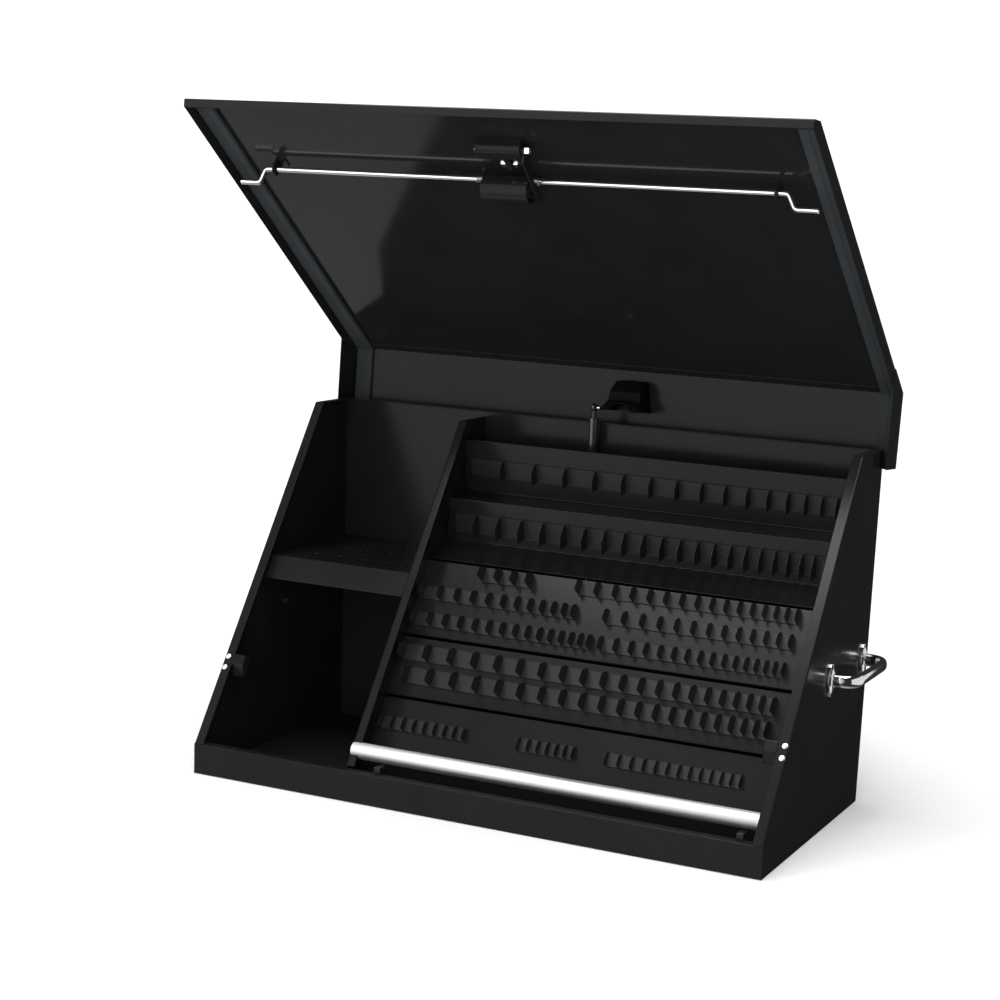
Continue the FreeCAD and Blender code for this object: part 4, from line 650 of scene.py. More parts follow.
# Side handles: a chromed die-cast grip of oval section on two oval feet, bolted from the inside.
HANDLE_Z = 0.228
HANDLE_BACK_FOOT = BACK - 0.026
HANDLE_SPAN = 0.158
HANDLE_REACH = 0.044
HANDLE_BEND = 0.024
GRIP_HEIGHT = 0.019
GRIP_DEPTH = 0.013
FOOT_HEIGHT = 0.050
FOOT_WIDTH = 0.026
FOOT_THICKNESS = 0.006


def drawn(name, path, across, height, depth, sides=28, dome=0.0, turned=None):
    """A bar along a path: each ring is an ellipse on a given sideways direction and its cross product with
    the run, and both ends are closed by rings that shrink as a quarter circle."""
    path = np.asarray(path, float)
    run = np.gradient(path, axis=0)
    run /= np.linalg.norm(run, axis=1, keepdims=True)
    across = np.broadcast_to(np.asarray(across, float), path.shape)
    up = np.cross(run, across)
    up /= np.linalg.norm(up, axis=1, keepdims=True)
    size = np.ones(len(path))
    if dome:
        bend = np.array([1.0, 0.92, 0.72, 0.4, 0.0]) * math.pi / 2
        start = path[0] - run[0] * dome * np.sin(bend)[:, None] + run[0] * dome
        end = path[-1] + run[-1] * dome * np.sin(bend[::-1])[:, None] - run[-1] * dome
        path = np.vstack([start, path[1:-1], end])
        size = np.concatenate([np.cos(bend), size[1:-1], np.cos(bend[::-1])])
        size = np.maximum(size, 0.02)
        k = len(bend)
        across = np.vstack([np.repeat(across[:1], k, 0), across[1:-1], np.repeat(across[-1:], k, 0)])
        up = np.vstack([np.repeat(up[:1], k, 0), up[1:-1], np.repeat(up[-1:], k, 0)])
    angle = np.linspace(0, 2 * math.pi, sides + 1)[:-1]
    ring = (np.cos(angle)[None, :, None] * across[:, None] * height
            + np.sin(angle)[None, :, None] * up[:, None] * depth) * size[:, None, None]
    points = (path[:, None] + ring).reshape(-1, 3)
    if turned is not None:
        points = turned(points)
    n = len(path)
    index = np.arange(n * sides).reshape(n, sides)
    over = np.roll(index, -1, axis=1)
    faces = np.stack([index[:-1], over[:-1], over[1:], index[1:]], axis=-1).reshape(-1, 4).tolist()
    return shaped(name, points, faces + [index[0][::-1].tolist(), index[-1].tolist()], 0)


def oval_foot(name, side, y):
    """A foot: ovals stacked outwards from the side panel, rounded over and drawn in to the grip by a fillet."""
    t = np.linspace(0.0, 1.0, 14)
    grow = np.concatenate([[1.0, 1.0], 1.0 - 0.06 * t ** 2, 0.94 - 0.94 * (1 - (1 - t[1:]) ** 2.2) * 0.66])
    rise = np.concatenate([[0.0, 0.0018], 0.0018 + 0.0022 * t, 0.004 + 0.009 * t[1:] ** 1.9])
    width = np.maximum(FOOT_WIDTH / 2 * grow, GRIP_DEPTH / 2 * 0.98)
    tall = np.maximum(FOOT_HEIGHT / 2 * grow, GRIP_HEIGHT / 2 * 0.98)
    angle = np.linspace(0, 2 * math.pi, 49)[:-1]
    x = side * (HALF + rise[:, None]) + np.zeros_like(angle)
    rings = np.stack([x, y + width[:, None] * np.cos(angle), HANDLE_Z + tall[:, None] * np.sin(angle)], axis=-1)
    n, m = rings.shape[:2]
    index = np.arange(n * m).reshape(n, m)
    over = np.roll(index, -1, axis=1)
    faces = np.stack([index[:-1], over[:-1], over[1:], index[1:]], axis=-1).reshape(-1, 4).tolist()
    return shaped(name, rings.reshape(-1, 3), faces + [index[0][::-1].tolist(), index[-1].tolist()], 0)


chrome = metal("bright chrome plate", (0.9, 0.9, 0.91), 0.07, None, 0.0, 0.01)
for side, node in ((1, "right_handle"), (-1, "left_handle")):
    grip_x = HALF + HANDLE_REACH - GRIP_DEPTH / 2
    feet_y = (HANDLE_BACK_FOOT - HANDLE_SPAN, HANDLE_BACK_FOOT)
    corners = [(HALF + 0.002, feet_y[0]), (grip_x, feet_y[0]), (grip_x, feet_y[1]), (HALF + 0.002, feet_y[1])]
    bow = rounded(corners, HANDLE_BEND, 16)
    bow = np.column_stack([side * bow[:, 0], bow[:, 1], np.full(len(bow), HANDLE_Z)])
    grip = drawn("grip", bow, (0.0, 0.0, 1.0), GRIP_HEIGHT / 2, GRIP_DEPTH / 2, 40)
    feet = [oval_foot("foot", side, y) for y in feet_y]
    dressed(joined(node.replace("handle", "grip"), [grip] + feet), chrome, "box", "chrome", node)


# Lid: two black sheets and a cap. The long front panel has side flanges and a boxed nose along its free
# edge; it is welded over the cap's lap, and the cap's deep cheeks shut over the sides of the box.
hinge_low, hinge_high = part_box("hinge_pin")
HINGE = np.array([(hinge_low.y + hinge_high.y) / 2, (hinge_low.z + hinge_high.z) / 2])
LID_SWING = math.radians(94.0)
LID_TOP_GAP = 0.009
LID_FRONT_GAP = 0.0105
LID_REAR = BACK + 0.0055
LID_TOP_Z = HEIGHT + LID_TOP_GAP
LID_HALF = HALF + 0.010
PANEL_HALF = LID_HALF - SHEET
NOSE_HEIGHT = 0.0245
NOSE_RETURN = 0.012
LID_FLANGE = 0.023
CAP_PLATE = 0.055
CAP_LAP = 0.014
LEAF_CLEAR = 0.0034
KNEE = slope(-(LID_TOP_GAP + LID_FRONT_GAP * INTO[1]) / -DOWN[1], -LID_FRONT_GAP)


def front(along, below):
    """A (y, z) point on the shut lid's front panel: so far from the knee, so far below its outer face."""
    return KNEE + along * DOWN + below * INTO


def front_at(z, below):
    """The point at height z on a line that runs below the shut lid's front panel."""
    return front((KNEE[1] + below * INTO[1] - z) / -DOWN[1], below)


def stood_open(points):
    """Points of the shut lid, turned about the hinge pin to where the lid stands open."""
    y, z = points[:, 1] - HINGE[0], points[:, 2] - HINGE[1]
    c, s = math.cos(LID_SWING), math.sin(LID_SWING)
    return np.column_stack([points[:, 0], HINGE[0] + c * y + s * z, HINGE[1] - s * y + c * z])


nose_top = front(FRONT_LENGTH, 0.0)
nose_foot = nose_top - (0.0, NOSE_HEIGHT)
nose_end = nose_foot + (NOSE_RETURN, 0.0)
front_top = front_at(LID_TOP_Z - SHEET, 0.0)
front_line = rounded([nose_end, nose_foot, nose_top, front_top], 0.0022)
front_skin = ribbon("front_skin", front_line, -SHEET, -PANEL_HALF, PANEL_HALF, stood_open, 0.0005)
flange_outline = np.vstack([rounded([front_top, nose_top, nose_foot, nose_end], 0.0022),
                            front_at(nose_end[1] + SHEET, LID_FLANGE), front_at(LID_TOP_Z - SHEET, LID_FLANGE)])
flanges = [plate("flange", flange_outline, s * (PANEL_HALF - SHEET), s * (PANEL_HALF - 0.0001), stood_open)
           for s in (1, -1)]
lid_coat = powder_coat("gloss black lid coat", roughness=0.12, peel=0.035, grain=300.0)
dressed(joined("lid_front_sheet", [front_skin] + flanges), lid_coat, "lid", "black_powder_coat",
        "lid_front_panel")
cap_line = rounded([(LID_REAR, HINGE[1] + LEAF_CLEAR), (LID_REAR, LID_TOP_Z), front_at(LID_TOP_Z, SHEET),
                    front(CAP_LAP, SHEET)], 0.0022)
cap_skin = ribbon("cap_skin", cap_line, SHEET, -PANEL_HALF, PANEL_HALF, stood_open)
cap_foot = LID_TOP_Z - CAP_PLATE
cheek_outline = rounded_loop([KNEE, (LID_REAR, LID_TOP_Z), (LID_REAR, cap_foot), front_at(cap_foot, 0.0)], 0.002)
cheeks = [plate("cheek", cheek_outline, s * PANEL_HALF, s * LID_HALF, stood_open) for s in (1, -1)]
dressed(joined("lid_cap_sheet", [cap_skin] + cheeks), gloss_coat, "lid", "black_powder_coat", "lid_cap")


# Seals: dark grey foam-rubber strip glued along both side edges of the lid and carried round the knee,
# with a crease along its middle and fine ribs. It closes on to the lands of the box.
SEAL_WIDTH = 0.029
SEAL_CLEAR = 0.0018
seal_outer = PANEL_HALF - SHEET - TOUCH
seal_back = 2 * SHEET + TOUCH
seal_rear = LID_REAR - SHEET - TOUCH
seal_face = LID_FRONT_GAP - SEAL_CLEAR


def strip_line(front_depth, top_z, start):
    """The strip's back or face in section, with the same number of points on every stretch."""
    bend = rounded([front(start, front_depth), front_at(top_z, front_depth), (seal_rear, top_z)], 0.006, 12)
    run_a = bend[:1] + (bend[1] - bend[0]) * np.linspace(0, 1, 60)[:, None]
    run_b = bend[-2:-1] + (bend[-1] - bend[-2]) * np.linspace(0, 1, 12)[:, None]
    return np.vstack([run_a, bend[2:-2], run_b])


rubber = powder_coat("dark grey foam rubber", (0.026, 0.029, 0.031), 0.62, 0.5, 700.0, 0.12)
strip_back = strip_line(seal_back, LID_TOP_Z - seal_back, FRONT_LENGTH - 0.006)
strip_face = strip_line(seal_face, HEIGHT + SEAL_CLEAR, FRONT_LENGTH - 0.006)
u = np.linspace(0.0, 1.0, 61)
shoulder = (1.0 - np.abs(2 * u - 1) ** 14) ** 0.3
crease = 0.16 * np.exp(-((u - 0.5) / 0.022) ** 2) + 0.05 * np.exp(-((u - 0.93) / 0.02) ** 2)
ribs = 0.012 * np.cos(2 * math.pi * 14 * u)
profile = shoulder * (1.0 - crease - ribs - 0.012)
profile[0] = profile[-1] = 0.0
for side, node in ((1, "right_lid_seal"), (-1, "left_lid_seal")):
    grid = strip_back[:, None] + profile[None, :, None] * (strip_face - strip_back)[:, None]
    x = side * (seal_outer - SEAL_WIDTH * u[None, :, None]) * np.ones((len(grid), 1, 1))
    points = stood_open(np.concatenate([x, grid], axis=2).reshape(-1, 3))
    n, m = grid.shape[:2]
    index = np.arange(n * m).reshape(n, m)
    over = np.roll(index, -1, axis=1)
    faces = np.stack([index[:-1], over[:-1], over[1:], index[1:]], axis=-1).reshape(-1, 4).tolist()
    strip = shaped(node.replace("lid_seal", "seal_strip"), points, faces + [index[0][::-1].tolist(),
                                                                             index[-1].tolist()], 0)
    dressed(strip, rubber, "lid", "grey_foam", node)


# Latch rod: one 8 mm zinc-plated bar across the lid, cranked at both ends; the cranked tips drop behind the
# catches. It turns in two black tabs and carries the release lever at its middle.
ROD_RADIUS = 0.004
ROD_BELOW = 0.0165
ROD_TIP = INNER - 0.0125
ROD_STRAIGHT = ROD_TIP - 0.047
CRANK_REACH = 0.020
CRANK_ANGLE = math.radians(52.0)
tip_along = ROD_ALONG - CRANK_REACH * math.cos(CRANK_ANGLE)
tip_below = ROD_BELOW + CRANK_REACH * math.sin(CRANK_ANGLE)


def lid_point(x, along, below):
    """A point in space from a place across the shut lid and one on its front panel."""
    return np.array([x, *front(along, below)])


zinc_rod = metal("bright zinc rod", (0.88, 0.87, 0.84), 0.2, (0.05, 1.0, 1.0), 0.0, 0.04)
half_rod = [lid_point(ROD_STRAIGHT + 0.004, ROD_ALONG, ROD_BELOW),
            lid_point(ROD_STRAIGHT + 0.014, tip_along, tip_below), lid_point(ROD_TIP, tip_along, tip_below)]
flip = np.array([-1.0, 1.0, 1.0])
rod_path = rounded([p * flip for p in half_rod[::-1]] + half_rod, 0.008, 10)
crank_run = lid_point(0, tip_along, tip_below) - lid_point(0, ROD_ALONG, ROD_BELOW)
rod_across = np.cross((1.0, 0.0, 0.0), crank_run / np.linalg.norm(crank_run))
latch_bar = drawn("latch_bar", rod_path, rod_across, ROD_RADIUS, ROD_RADIUS, 24, 0.0012, stood_open)
dressed(latch_bar, zinc_rod, "latch_rod_body", "bright_zinc", "latch_rod")


# Release lever: a plate rolled round the middle of the rod, welded to a boss and open towards the lid.
LEVER_LEFT, LEVER_RIGHT = -0.042, 0.029
LEVER_RADIUS = 0.016
LEVER_WALL = 0.0025
lever_turn = np.radians(np.linspace(-20.0, 178.0, 40))
lever_line = np.array([front(ROD_ALONG - 0.008 + LEVER_RADIUS * math.cos(a), ROD_BELOW + 0.0095
                             + LEVER_RADIUS * math.sin(a)) for a in lever_turn])
lever_shell = ribbon("shell", lever_line, -LEVER_WALL, LEVER_LEFT, LEVER_RIGHT, stood_open, 0.0007)
boss_centre = stood_open(np.array([lid_point(LEVER_LEFT, ROD_ALONG, ROD_BELOW)]))[0]
lever_length = LEVER_RIGHT - LEVER_LEFT
boss_profile = rounded_loop([(0.0, 0.0040), (lever_length, 0.0040), (lever_length, 0.0075), (0.0, 0.0075)], 0.0006, 3)
lever_boss = lathed("boss", boss_profile, boss_centre, (1, 0, 0), 40, ring=True)
dressed(joined("lever_plate", [lever_shell, lever_boss]), gloss_coat, "latch_rod_body", "black_powder_coat",
        "release_lever")


# Torsion springs: plated wire wound round the rod at both ends of the lever, one leg resting on the lid.
SPRING_WIRE = 0.0009
SPRING_RADIUS = 0.0054
SPRING_TURNS = 4.5
SPRING_PITCH = 0.0024
SPRING_LEG = 0.012
spring_wire = metal("plated spring wire", (0.8, 0.8, 0.8), 0.22, None, 0.0, 0.03)
for side, start, node in ((1, LEVER_RIGHT + 0.0015, "right_torsion_spring"),
                          (-1, LEVER_LEFT - 0.0015, "left_torsion_spring")):
    turn = np.linspace(0.0, 2 * math.pi * SPRING_TURNS, int(SPRING_TURNS * 36))
    coil = np.array([start, *front(ROD_ALONG, ROD_BELOW)]) + np.column_stack([
        side * SPRING_PITCH * turn / (2 * math.pi),
        SPRING_RADIUS * (np.cos(turn)[:, None] * DOWN + np.sin(turn)[:, None] * INTO)])
    radial = np.column_stack([np.zeros_like(turn), np.cos(turn)[:, None] * DOWN + np.sin(turn)[:, None] * INTO])
    heading = coil[-1] - coil[-2]
    heading /= np.linalg.norm(heading)
    leg = coil[-1] + heading * np.linspace(0.1, 1.0, 8)[:, None] * SPRING_LEG
    wire = drawn(node.replace("spring", "wire"), np.vstack([coil, leg]),
                 np.vstack([radial, np.repeat(radial[-1:], 8, 0)]), SPRING_WIRE, SPRING_WIRE, 12, 0.0004, stood_open)
    dressed(wire, spring_wire, "lid", "spring_steel", node)


# Rod guides: two bent tabs spot-welded to the lid by their feet, each with a bore in which the rod turns.
GUIDE_X = ROD_STRAIGHT - 0.012
GUIDE_WALL = 0.003
ROD_FIT = 0.0001


def bored(name, outline, centre, radius, x0, x1):
    """A lid plate with a round hole: each corner of the outline is joined to the point of the circle at
    centre + radius * (corner - centre) / |corner - centre|."""
    spoke = outline - centre
    hole = centre + radius * spoke / np.linalg.norm(spoke, axis=1, keepdims=True)
    m = len(outline)
    points = np.vstack([at_x(x0, outline), at_x(x0, hole), at_x(x1, hole), at_x(x1, outline)])
    index = np.arange(4 * m).reshape(4, m)
    index = np.vstack([index, index[:1]])
    over = np.roll(index, -1, axis=1)
    faces = np.stack([index[:-1], over[:-1], over[1:], index[1:]], axis=-1).reshape(-1, 4).tolist()
    return shaped(name, stood_open(points), faces, 0.0003)


def filled(outline, spacing=0.0012):
    """The closed outline with extra points on its long stretches."""
    loop = np.vstack([outline, outline[:1]])
    far = np.append(0.0, np.cumsum(np.linalg.norm(np.diff(loop, axis=0), axis=1)))
    spots = np.union1d(far, np.arange(0.0, far[-1], spacing))[:-1]
    return np.column_stack([np.interp(spots, far, loop[:, 0]), np.interp(spots, far, loop[:, 1])])


rod_centre = front(ROD_ALONG, ROD_BELOW)
guide_line = rounded_loop([front(ROD_ALONG - 0.009, SHEET), front(ROD_ALONG + 0.009, SHEET),
                           front(ROD_ALONG + 0.009, ROD_BELOW + 0.002), front(ROD_ALONG + 0.005, ROD_BELOW + 0.009),
                           front(ROD_ALONG - 0.005, ROD_BELOW + 0.009),
                           front(ROD_ALONG - 0.009, ROD_BELOW + 0.002)], 0.0016)
guide_foot = np.array([front(ROD_ALONG - 0.009, SHEET), front(ROD_ALONG + 0.009, SHEET),
                       front(ROD_ALONG + 0.009, SHEET + 0.002), front(ROD_ALONG - 0.009, SHEET + 0.002)])
tabs = []
for side in (1, -1):
    x = side * GUIDE_X
    tabs.append(bored("tab", filled(guide_line), rod_centre, ROD_RADIUS + ROD_FIT, x - GUIDE_WALL / 2, x + GUIDE_WALL / 2))
    tabs.append(plate("foot", guide_foot, x - side * (GUIDE_WALL / 2 + 0.012), x + side * GUIDE_WALL / 4, stood_open))
dressed(joined("guide_tabs", tabs), gloss_coat, "lid", "black_powder_coat", "rod_guides")


# Rocker bracket: a black sheet cover rolled over at the top, an ear folded in at each end, welded to the
# lid. The left ear holds the fixed pin, and the hub of the rocker turns in the right one.
HUB_ALONG = ROD_ALONG + 0.059
HUB_BELOW = 0.012
HUB_RADIUS = 0.0065
PIN_RADIUS = 0.004
COVER_LEFT, COVER_RIGHT = -0.033, 0.035
COVER_SHEET = 0.002
hub_centre = front(HUB_ALONG, HUB_BELOW)
cover_line = rounded([front(HUB_ALONG + 0.014, SHEET), front(HUB_ALONG + 0.014, 0.022),
                      front(HUB_ALONG - 0.008, 0.022)], 0.010, 14)
cover = ribbon("cover", cover_line, COVER_SHEET, COVER_LEFT, COVER_RIGHT, stood_open, 0.0005)
ear_line = np.vstack([beside(cover_line, 0.0002), front(HUB_ALONG - 0.0078, SHEET)])
left_ear = plate("ear", ear_line, COVER_LEFT + 0.0001, COVER_LEFT + COVER_SHEET, stood_open)
right_ear = bored("ear", filled(ear_line), hub_centre, HUB_RADIUS + ROD_FIT, COVER_RIGHT - COVER_SHEET,
                  COVER_RIGHT - 0.0001)
dressed(joined("rocker_cover", [cover, left_ear, right_ear]), gloss_coat, "lid", "black_powder_coat",
        "rocker_bracket")


# Rocker: a hub tube on the fixed pin with a tongue under the button's stem and, outside the bracket, a bent
# arm whose finger bears on the release lever.
HUB_LEFT = COVER_LEFT + COVER_SHEET + TOUCH
ARM_LEFT = COVER_RIGHT + 4 * TOUCH
ARM_RIGHT = ARM_LEFT + 0.003
BUTTON_X = 0.00675
BUTTON_ALONG = ROD_ALONG + 0.032
FINGER_BELOW = ROD_BELOW + 0.0068
TONGUE_BELOW = 0.015 + TOUCH
hub_start = stood_open(np.array([[HUB_LEFT, *hub_centre]]))[0]
hub_length = ARM_RIGHT - HUB_LEFT
hub = lathed("hub", rounded_loop([(0.0, PIN_RADIUS + ROD_FIT), (hub_length, PIN_RADIUS + ROD_FIT),
                                  (hub_length, HUB_RADIUS), (0.0, HUB_RADIUS)], 0.0004, 3),
             hub_start, (1, 0, 0), 40, ring=True)
arm_line = rounded_loop([front(HUB_ALONG + 0.0005, HUB_BELOW + 0.0069), front(HUB_ALONG - 0.006, ROD_BELOW + 0.013),
                         front(ROD_ALONG + 0.014, ROD_BELOW + 0.015), front(ROD_ALONG - 0.014, ROD_BELOW + 0.017),
                         front(ROD_ALONG - 0.024, ROD_BELOW + 0.012), front(ROD_ALONG - 0.024, FINGER_BELOW),
                         front(ROD_ALONG - 0.016, FINGER_BELOW), front(ROD_ALONG - 0.010, ROD_BELOW + 0.008),
                         front(ROD_ALONG + 0.016, ROD_BELOW + 0.0074),
                         front(HUB_ALONG - 0.007, HUB_BELOW - 0.0005)], 0.0012)
arm = plate("arm", arm_line, ARM_LEFT, ARM_RIGHT - 0.0002, stood_open)
finger = plate("finger", np.array([front(ROD_ALONG - 0.0238, FINGER_BELOW), front(ROD_ALONG - 0.0162, FINGER_BELOW),
                                   front(ROD_ALONG - 0.0162, FINGER_BELOW + 0.0024),
                                   front(ROD_ALONG - 0.0238, FINGER_BELOW + 0.0024)]),
               LEVER_RIGHT - 0.007, ARM_RIGHT - 0.0004, stood_open)
tongue = plate("tongue", np.array([front(HUB_ALONG - 0.004, TONGUE_BELOW), front(BUTTON_ALONG - 0.007, TONGUE_BELOW),
                                   front(BUTTON_ALONG - 0.007, TONGUE_BELOW + 0.003),
                                   front(HUB_ALONG - 0.004, TONGUE_BELOW + 0.003)]),
               BUTTON_X - 0.0045, BUTTON_X + 0.0045, stood_open)
dressed(joined("rocker_link", [hub, arm, finger, tongue]), gloss_coat, "rocker_body", "black_powder_coat", "rocker")


# Push-button lock: a chromed die-cast cup on the outside of the lid, in which a round button slides. Its
# stem goes through the lid and ends above the rocker's tongue; the lock core sits in its face.
lid_out = stood_open(np.array([[0.0, *front(0.0, -1.0)], [0.0, *front(0.0, 0.0)]]))
lid_out = lid_out[0] - lid_out[1]
button_seat = stood_open(np.array([lid_point(BUTTON_X, BUTTON_ALONG, 0.0)]))[0]
STEM_RADIUS = 0.005
BUTTON_RADIUS = 0.012
cup_profile = rounded_loop([(0.0, STEM_RADIUS + ROD_FIT), (0.0012, STEM_RADIUS + ROD_FIT),
                            (0.0012, BUTTON_RADIUS + ROD_FIT), (0.0065, BUTTON_RADIUS + ROD_FIT), (0.0065, 0.0155),
                            (0.0030, 0.0190), (0.0026, 0.0209), (0.0, 0.0209)], 0.0004, 4)
cup = lathed("lock_cup", cup_profile, button_seat, lid_out, 72, ring=True)
dressed(cup, chrome, "lid", "chrome", "lock_bezel")
face_profile = rounded([(-0.015, 0.0), (-0.015, STEM_RADIUS), (0.0051, STEM_RADIUS), (0.0051, BUTTON_RADIUS),
                        (0.0101, BUTTON_RADIUS), (0.0101, 0.0066), (0.0061, 0.0066), (0.0061, 0.0)], 0.0004, 4)
button = lathed("lock_button", face_profile, button_seat, lid_out, 64)
dressed(button, chrome, "button_body", "chrome", "push_button")


# Gas strut: a black painted tube and a plated rod, each with a round ball socket on a short neck. The
# sockets are open towards the brackets, where the ball studs snap in.
STRUT_X = -0.002
STRUT_TOP = np.array([BACK - 0.021, HEIGHT + 0.024])
STRUT_FOOT = np.array([BACK - 0.016, HEIGHT - 0.250])
STRUT_SPAN = np.linalg.norm(STRUT_FOOT - STRUT_TOP)
strut_down = (0.0, *((STRUT_FOOT - STRUT_TOP) / STRUT_SPAN))
SOCKET_RADIUS = 0.0065
BALL_SEAT = 0.004 + TOUCH
NECK_RADIUS = 0.0035
NECK = 0.016
TUBE_END = NECK + 0.118
TUBE_RADIUS = 0.0075


def ball_cup(name, centre):
    """A hollow ball about the X axis: an outer arc, cut off flat where the blind seat opens."""
    open_at = 0.0045
    last = math.acos(open_at / SOCKET_RADIUS)
    arc = np.linspace(math.pi, last, 20)
    outside = np.column_stack([SOCKET_RADIUS * np.cos(arc), SOCKET_RADIUS * np.sin(arc)])
    outside[0, 1] = 0.0
    seat = [(open_at, BALL_SEAT), (-BALL_SEAT, BALL_SEAT), (-BALL_SEAT, 0.0)]
    return lathed(name, np.vstack([outside, seat]), (STRUT_X, *centre), (1, 0, 0), 40)


top_centre = (STRUT_X, *STRUT_TOP)
strut_paint = powder_coat("gloss black strut paint", (0.0085, 0.0087, 0.0091), 0.16, 0.02, 300.0, 0.6)
neck = lathed("neck", [(0.0052, 0.0), (0.0052, NECK_RADIUS), (NECK + 0.001, NECK_RADIUS), (NECK + 0.001, 0.0)],
              top_centre, strut_down, 32)
tube = lathed("tube", rounded([(NECK, 0.0), (NECK, TUBE_RADIUS), (TUBE_END, TUBE_RADIUS), (TUBE_END, 0.0031),
                               (NECK + 0.004, 0.0031), (NECK + 0.004, 0.0)], 0.0009, 5), top_centre, strut_down, 48)
dressed(joined("strut_cylinder", [ball_cup("cup", STRUT_TOP), neck, tube]), strut_paint, "strut_tube_body",
        "black_powder_coat", "strut_tube")
foot_neck = lathed("neck", [(STRUT_SPAN - NECK, 0.0), (STRUT_SPAN - NECK, NECK_RADIUS),
                            (STRUT_SPAN - 0.0052, NECK_RADIUS), (STRUT_SPAN - 0.0052, 0.0)],
                   top_centre, strut_down, 32)
piston = lathed("piston", rounded([(TUBE_END - 0.016, 0.0), (TUBE_END - 0.016, 0.003),
                                   (STRUT_SPAN - NECK + 0.002, 0.003), (STRUT_SPAN - NECK + 0.002, 0.0)],
                                  0.0004, 4), top_centre, strut_down, 36)
dressed(joined("strut_piston", [ball_cup("cup", STRUT_FOOT), foot_neck, piston]), zinc_rod, "strut_rod_body",
        "bright_zinc", "strut_rod")


# Strut bracket: black sheet pressed into a hood with two flared legs and a shallow ridge, welded to the
# cap's inner face. Its lower edge is cut out in an arch; the left leg carries the upper ball.
HOOD_LEFT = STRUT_X + SOCKET_RADIUS + 0.003
HOOD_WIDTH = 0.062
HOOD_WALL = 0.002
hood_low, hood_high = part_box("strut_bracket")
hood_line = rounded([(hood_high.y - 0.0012, hood_high.z - 0.0036), (STRUT_TOP[0] + 0.040, hood_high.z - 0.0036),
                     (STRUT_TOP[0] + 0.020, STRUT_TOP[1] + 0.026), (STRUT_TOP[0] + 0.020, STRUT_TOP[1] + 0.012),
                     (STRUT_TOP[0] - 0.004, STRUT_TOP[1] + 0.001)], 0.004, 6)
hood_line = beside(hood_line, 0.0028)
hood_back = np.linspace(hood_line[0, 1], hood_low.z + 0.004, len(hood_line))
cap_inner = stood_open(at_x(0.0, np.array([(KNEE[0] + 0.005, LID_TOP_Z - SHEET), (BACK - 0.030, LID_TOP_Z - SHEET)])))
cap_inner = cap_inner[:, 1:]
t = np.linspace(-1.0, 1.0, 25)
reach = np.append(0.0, np.cumsum(np.linalg.norm(np.diff(hood_line, axis=0), axis=1)))
reach /= reach[-1]
half_width = (HOOD_WIDTH / 2 - HOOD_WALL / 2) * (0.64 + 0.36 * reach)
middle = HOOD_LEFT + HOOD_WIDTH / 2
rows = []
for (y, z), wide, s, back_z in zip(hood_line, half_width, reach, hood_back):
    lift = 0.011 * s ** 6 * np.clip(1.0 - (t / 0.62) ** 2, 0.0, 1.0) ** 0.5
    ridge = 0.0016 * s * np.clip(1.0 - np.abs(t) / 0.09, 0.0, 1.0)
    front_row = np.column_stack([middle + wide * t, y - ridge + 0.9 * lift, z + lift])
    back_y = np.interp(back_z, cap_inner[::-1, 1], cap_inner[::-1, 0]) - 0.0012
    left = np.linspace((middle - wide, back_y, back_z), front_row[0], 6)[:-1]
    right = np.linspace(front_row[-1], (middle + wide, back_y, back_z), 6)[1:]
    rows.append(np.vstack([left, front_row, right]))
skin = np.array(rows)
n, m = skin.shape[:2]
index = np.arange(n * m).reshape(n, m)
faces = np.stack([index[:-1, :-1], index[1:, :-1], index[1:, 1:], index[:-1, 1:]], axis=-1).reshape(-1, 4).tolist()
hood = shaped("strut_hood", skin.reshape(-1, 3), faces, 0, False)
wall = hood.modifiers.new("sheet", "SOLIDIFY")
wall.thickness = HOOD_WALL
wall.offset = 0.0
# Painted shade: the bracket is the same black powder coat as the other sheets, but its colour is made darker here to
# stand in for the shade that falls on it.
painted_shade_bracket_coat = powder_coat("satin black bracket coat", (0.004, 0.004, 0.0042), 0.5, 0.2, 500.0, 0.06)
dressed(hood, painted_shade_bracket_coat, "lid", "black_powder_coat", "strut_bracket")


# Handle bolts: plated button-head bolts from inside the box, two to each handle.
bolts = []
for side in (1, -1):
    for y in feet_y:
        bolts.append(lathed("bolt", rounded([(0.0, 0.0), (0.0, 0.006), (0.0018, 0.006), (0.0038, 0.0036),
                                             (0.0038, 0.0019), (0.0020, 0.0019), (0.0020, 0.0)], 0.0004, 4),
                            (side * INNER, y, HANDLE_Z), (-side, 0, 0), 40))
        bolts.append(lathed("shank", [(-0.009, 0.0), (-0.009, 0.003), (0.0005, 0.003), (0.0005, 0.0)],
                            (side * INNER, y, HANDLE_Z), (-side, 0, 0), 24))
dressed(joined("handle_bolt_set", bolts), zinc_screw, "box", "bright_zinc", "handle_bolts")


# Floor, light and camera stand where the photographer had them: a white sweep that fades into the white
# background, one wide light above, softer ones in front and beside, and a long lens a little above the chest.
FLOOR_SIZE = 60.0
ground = bpy.data.meshes.new("studio_floor")
edge_at = FLOOR_SIZE / 2
ground.from_pydata([(-edge_at, -edge_at, 0), (edge_at, -edge_at, 0), (edge_at, edge_at, 0), (-edge_at, edge_at, 0)],
                   [], [(0, 1, 2, 3)])
studio_floor = bpy.data.objects.new("studio_floor", ground)
studio_floor.location.z = -0.0004
bpy.context.scene.collection.objects.link(studio_floor)


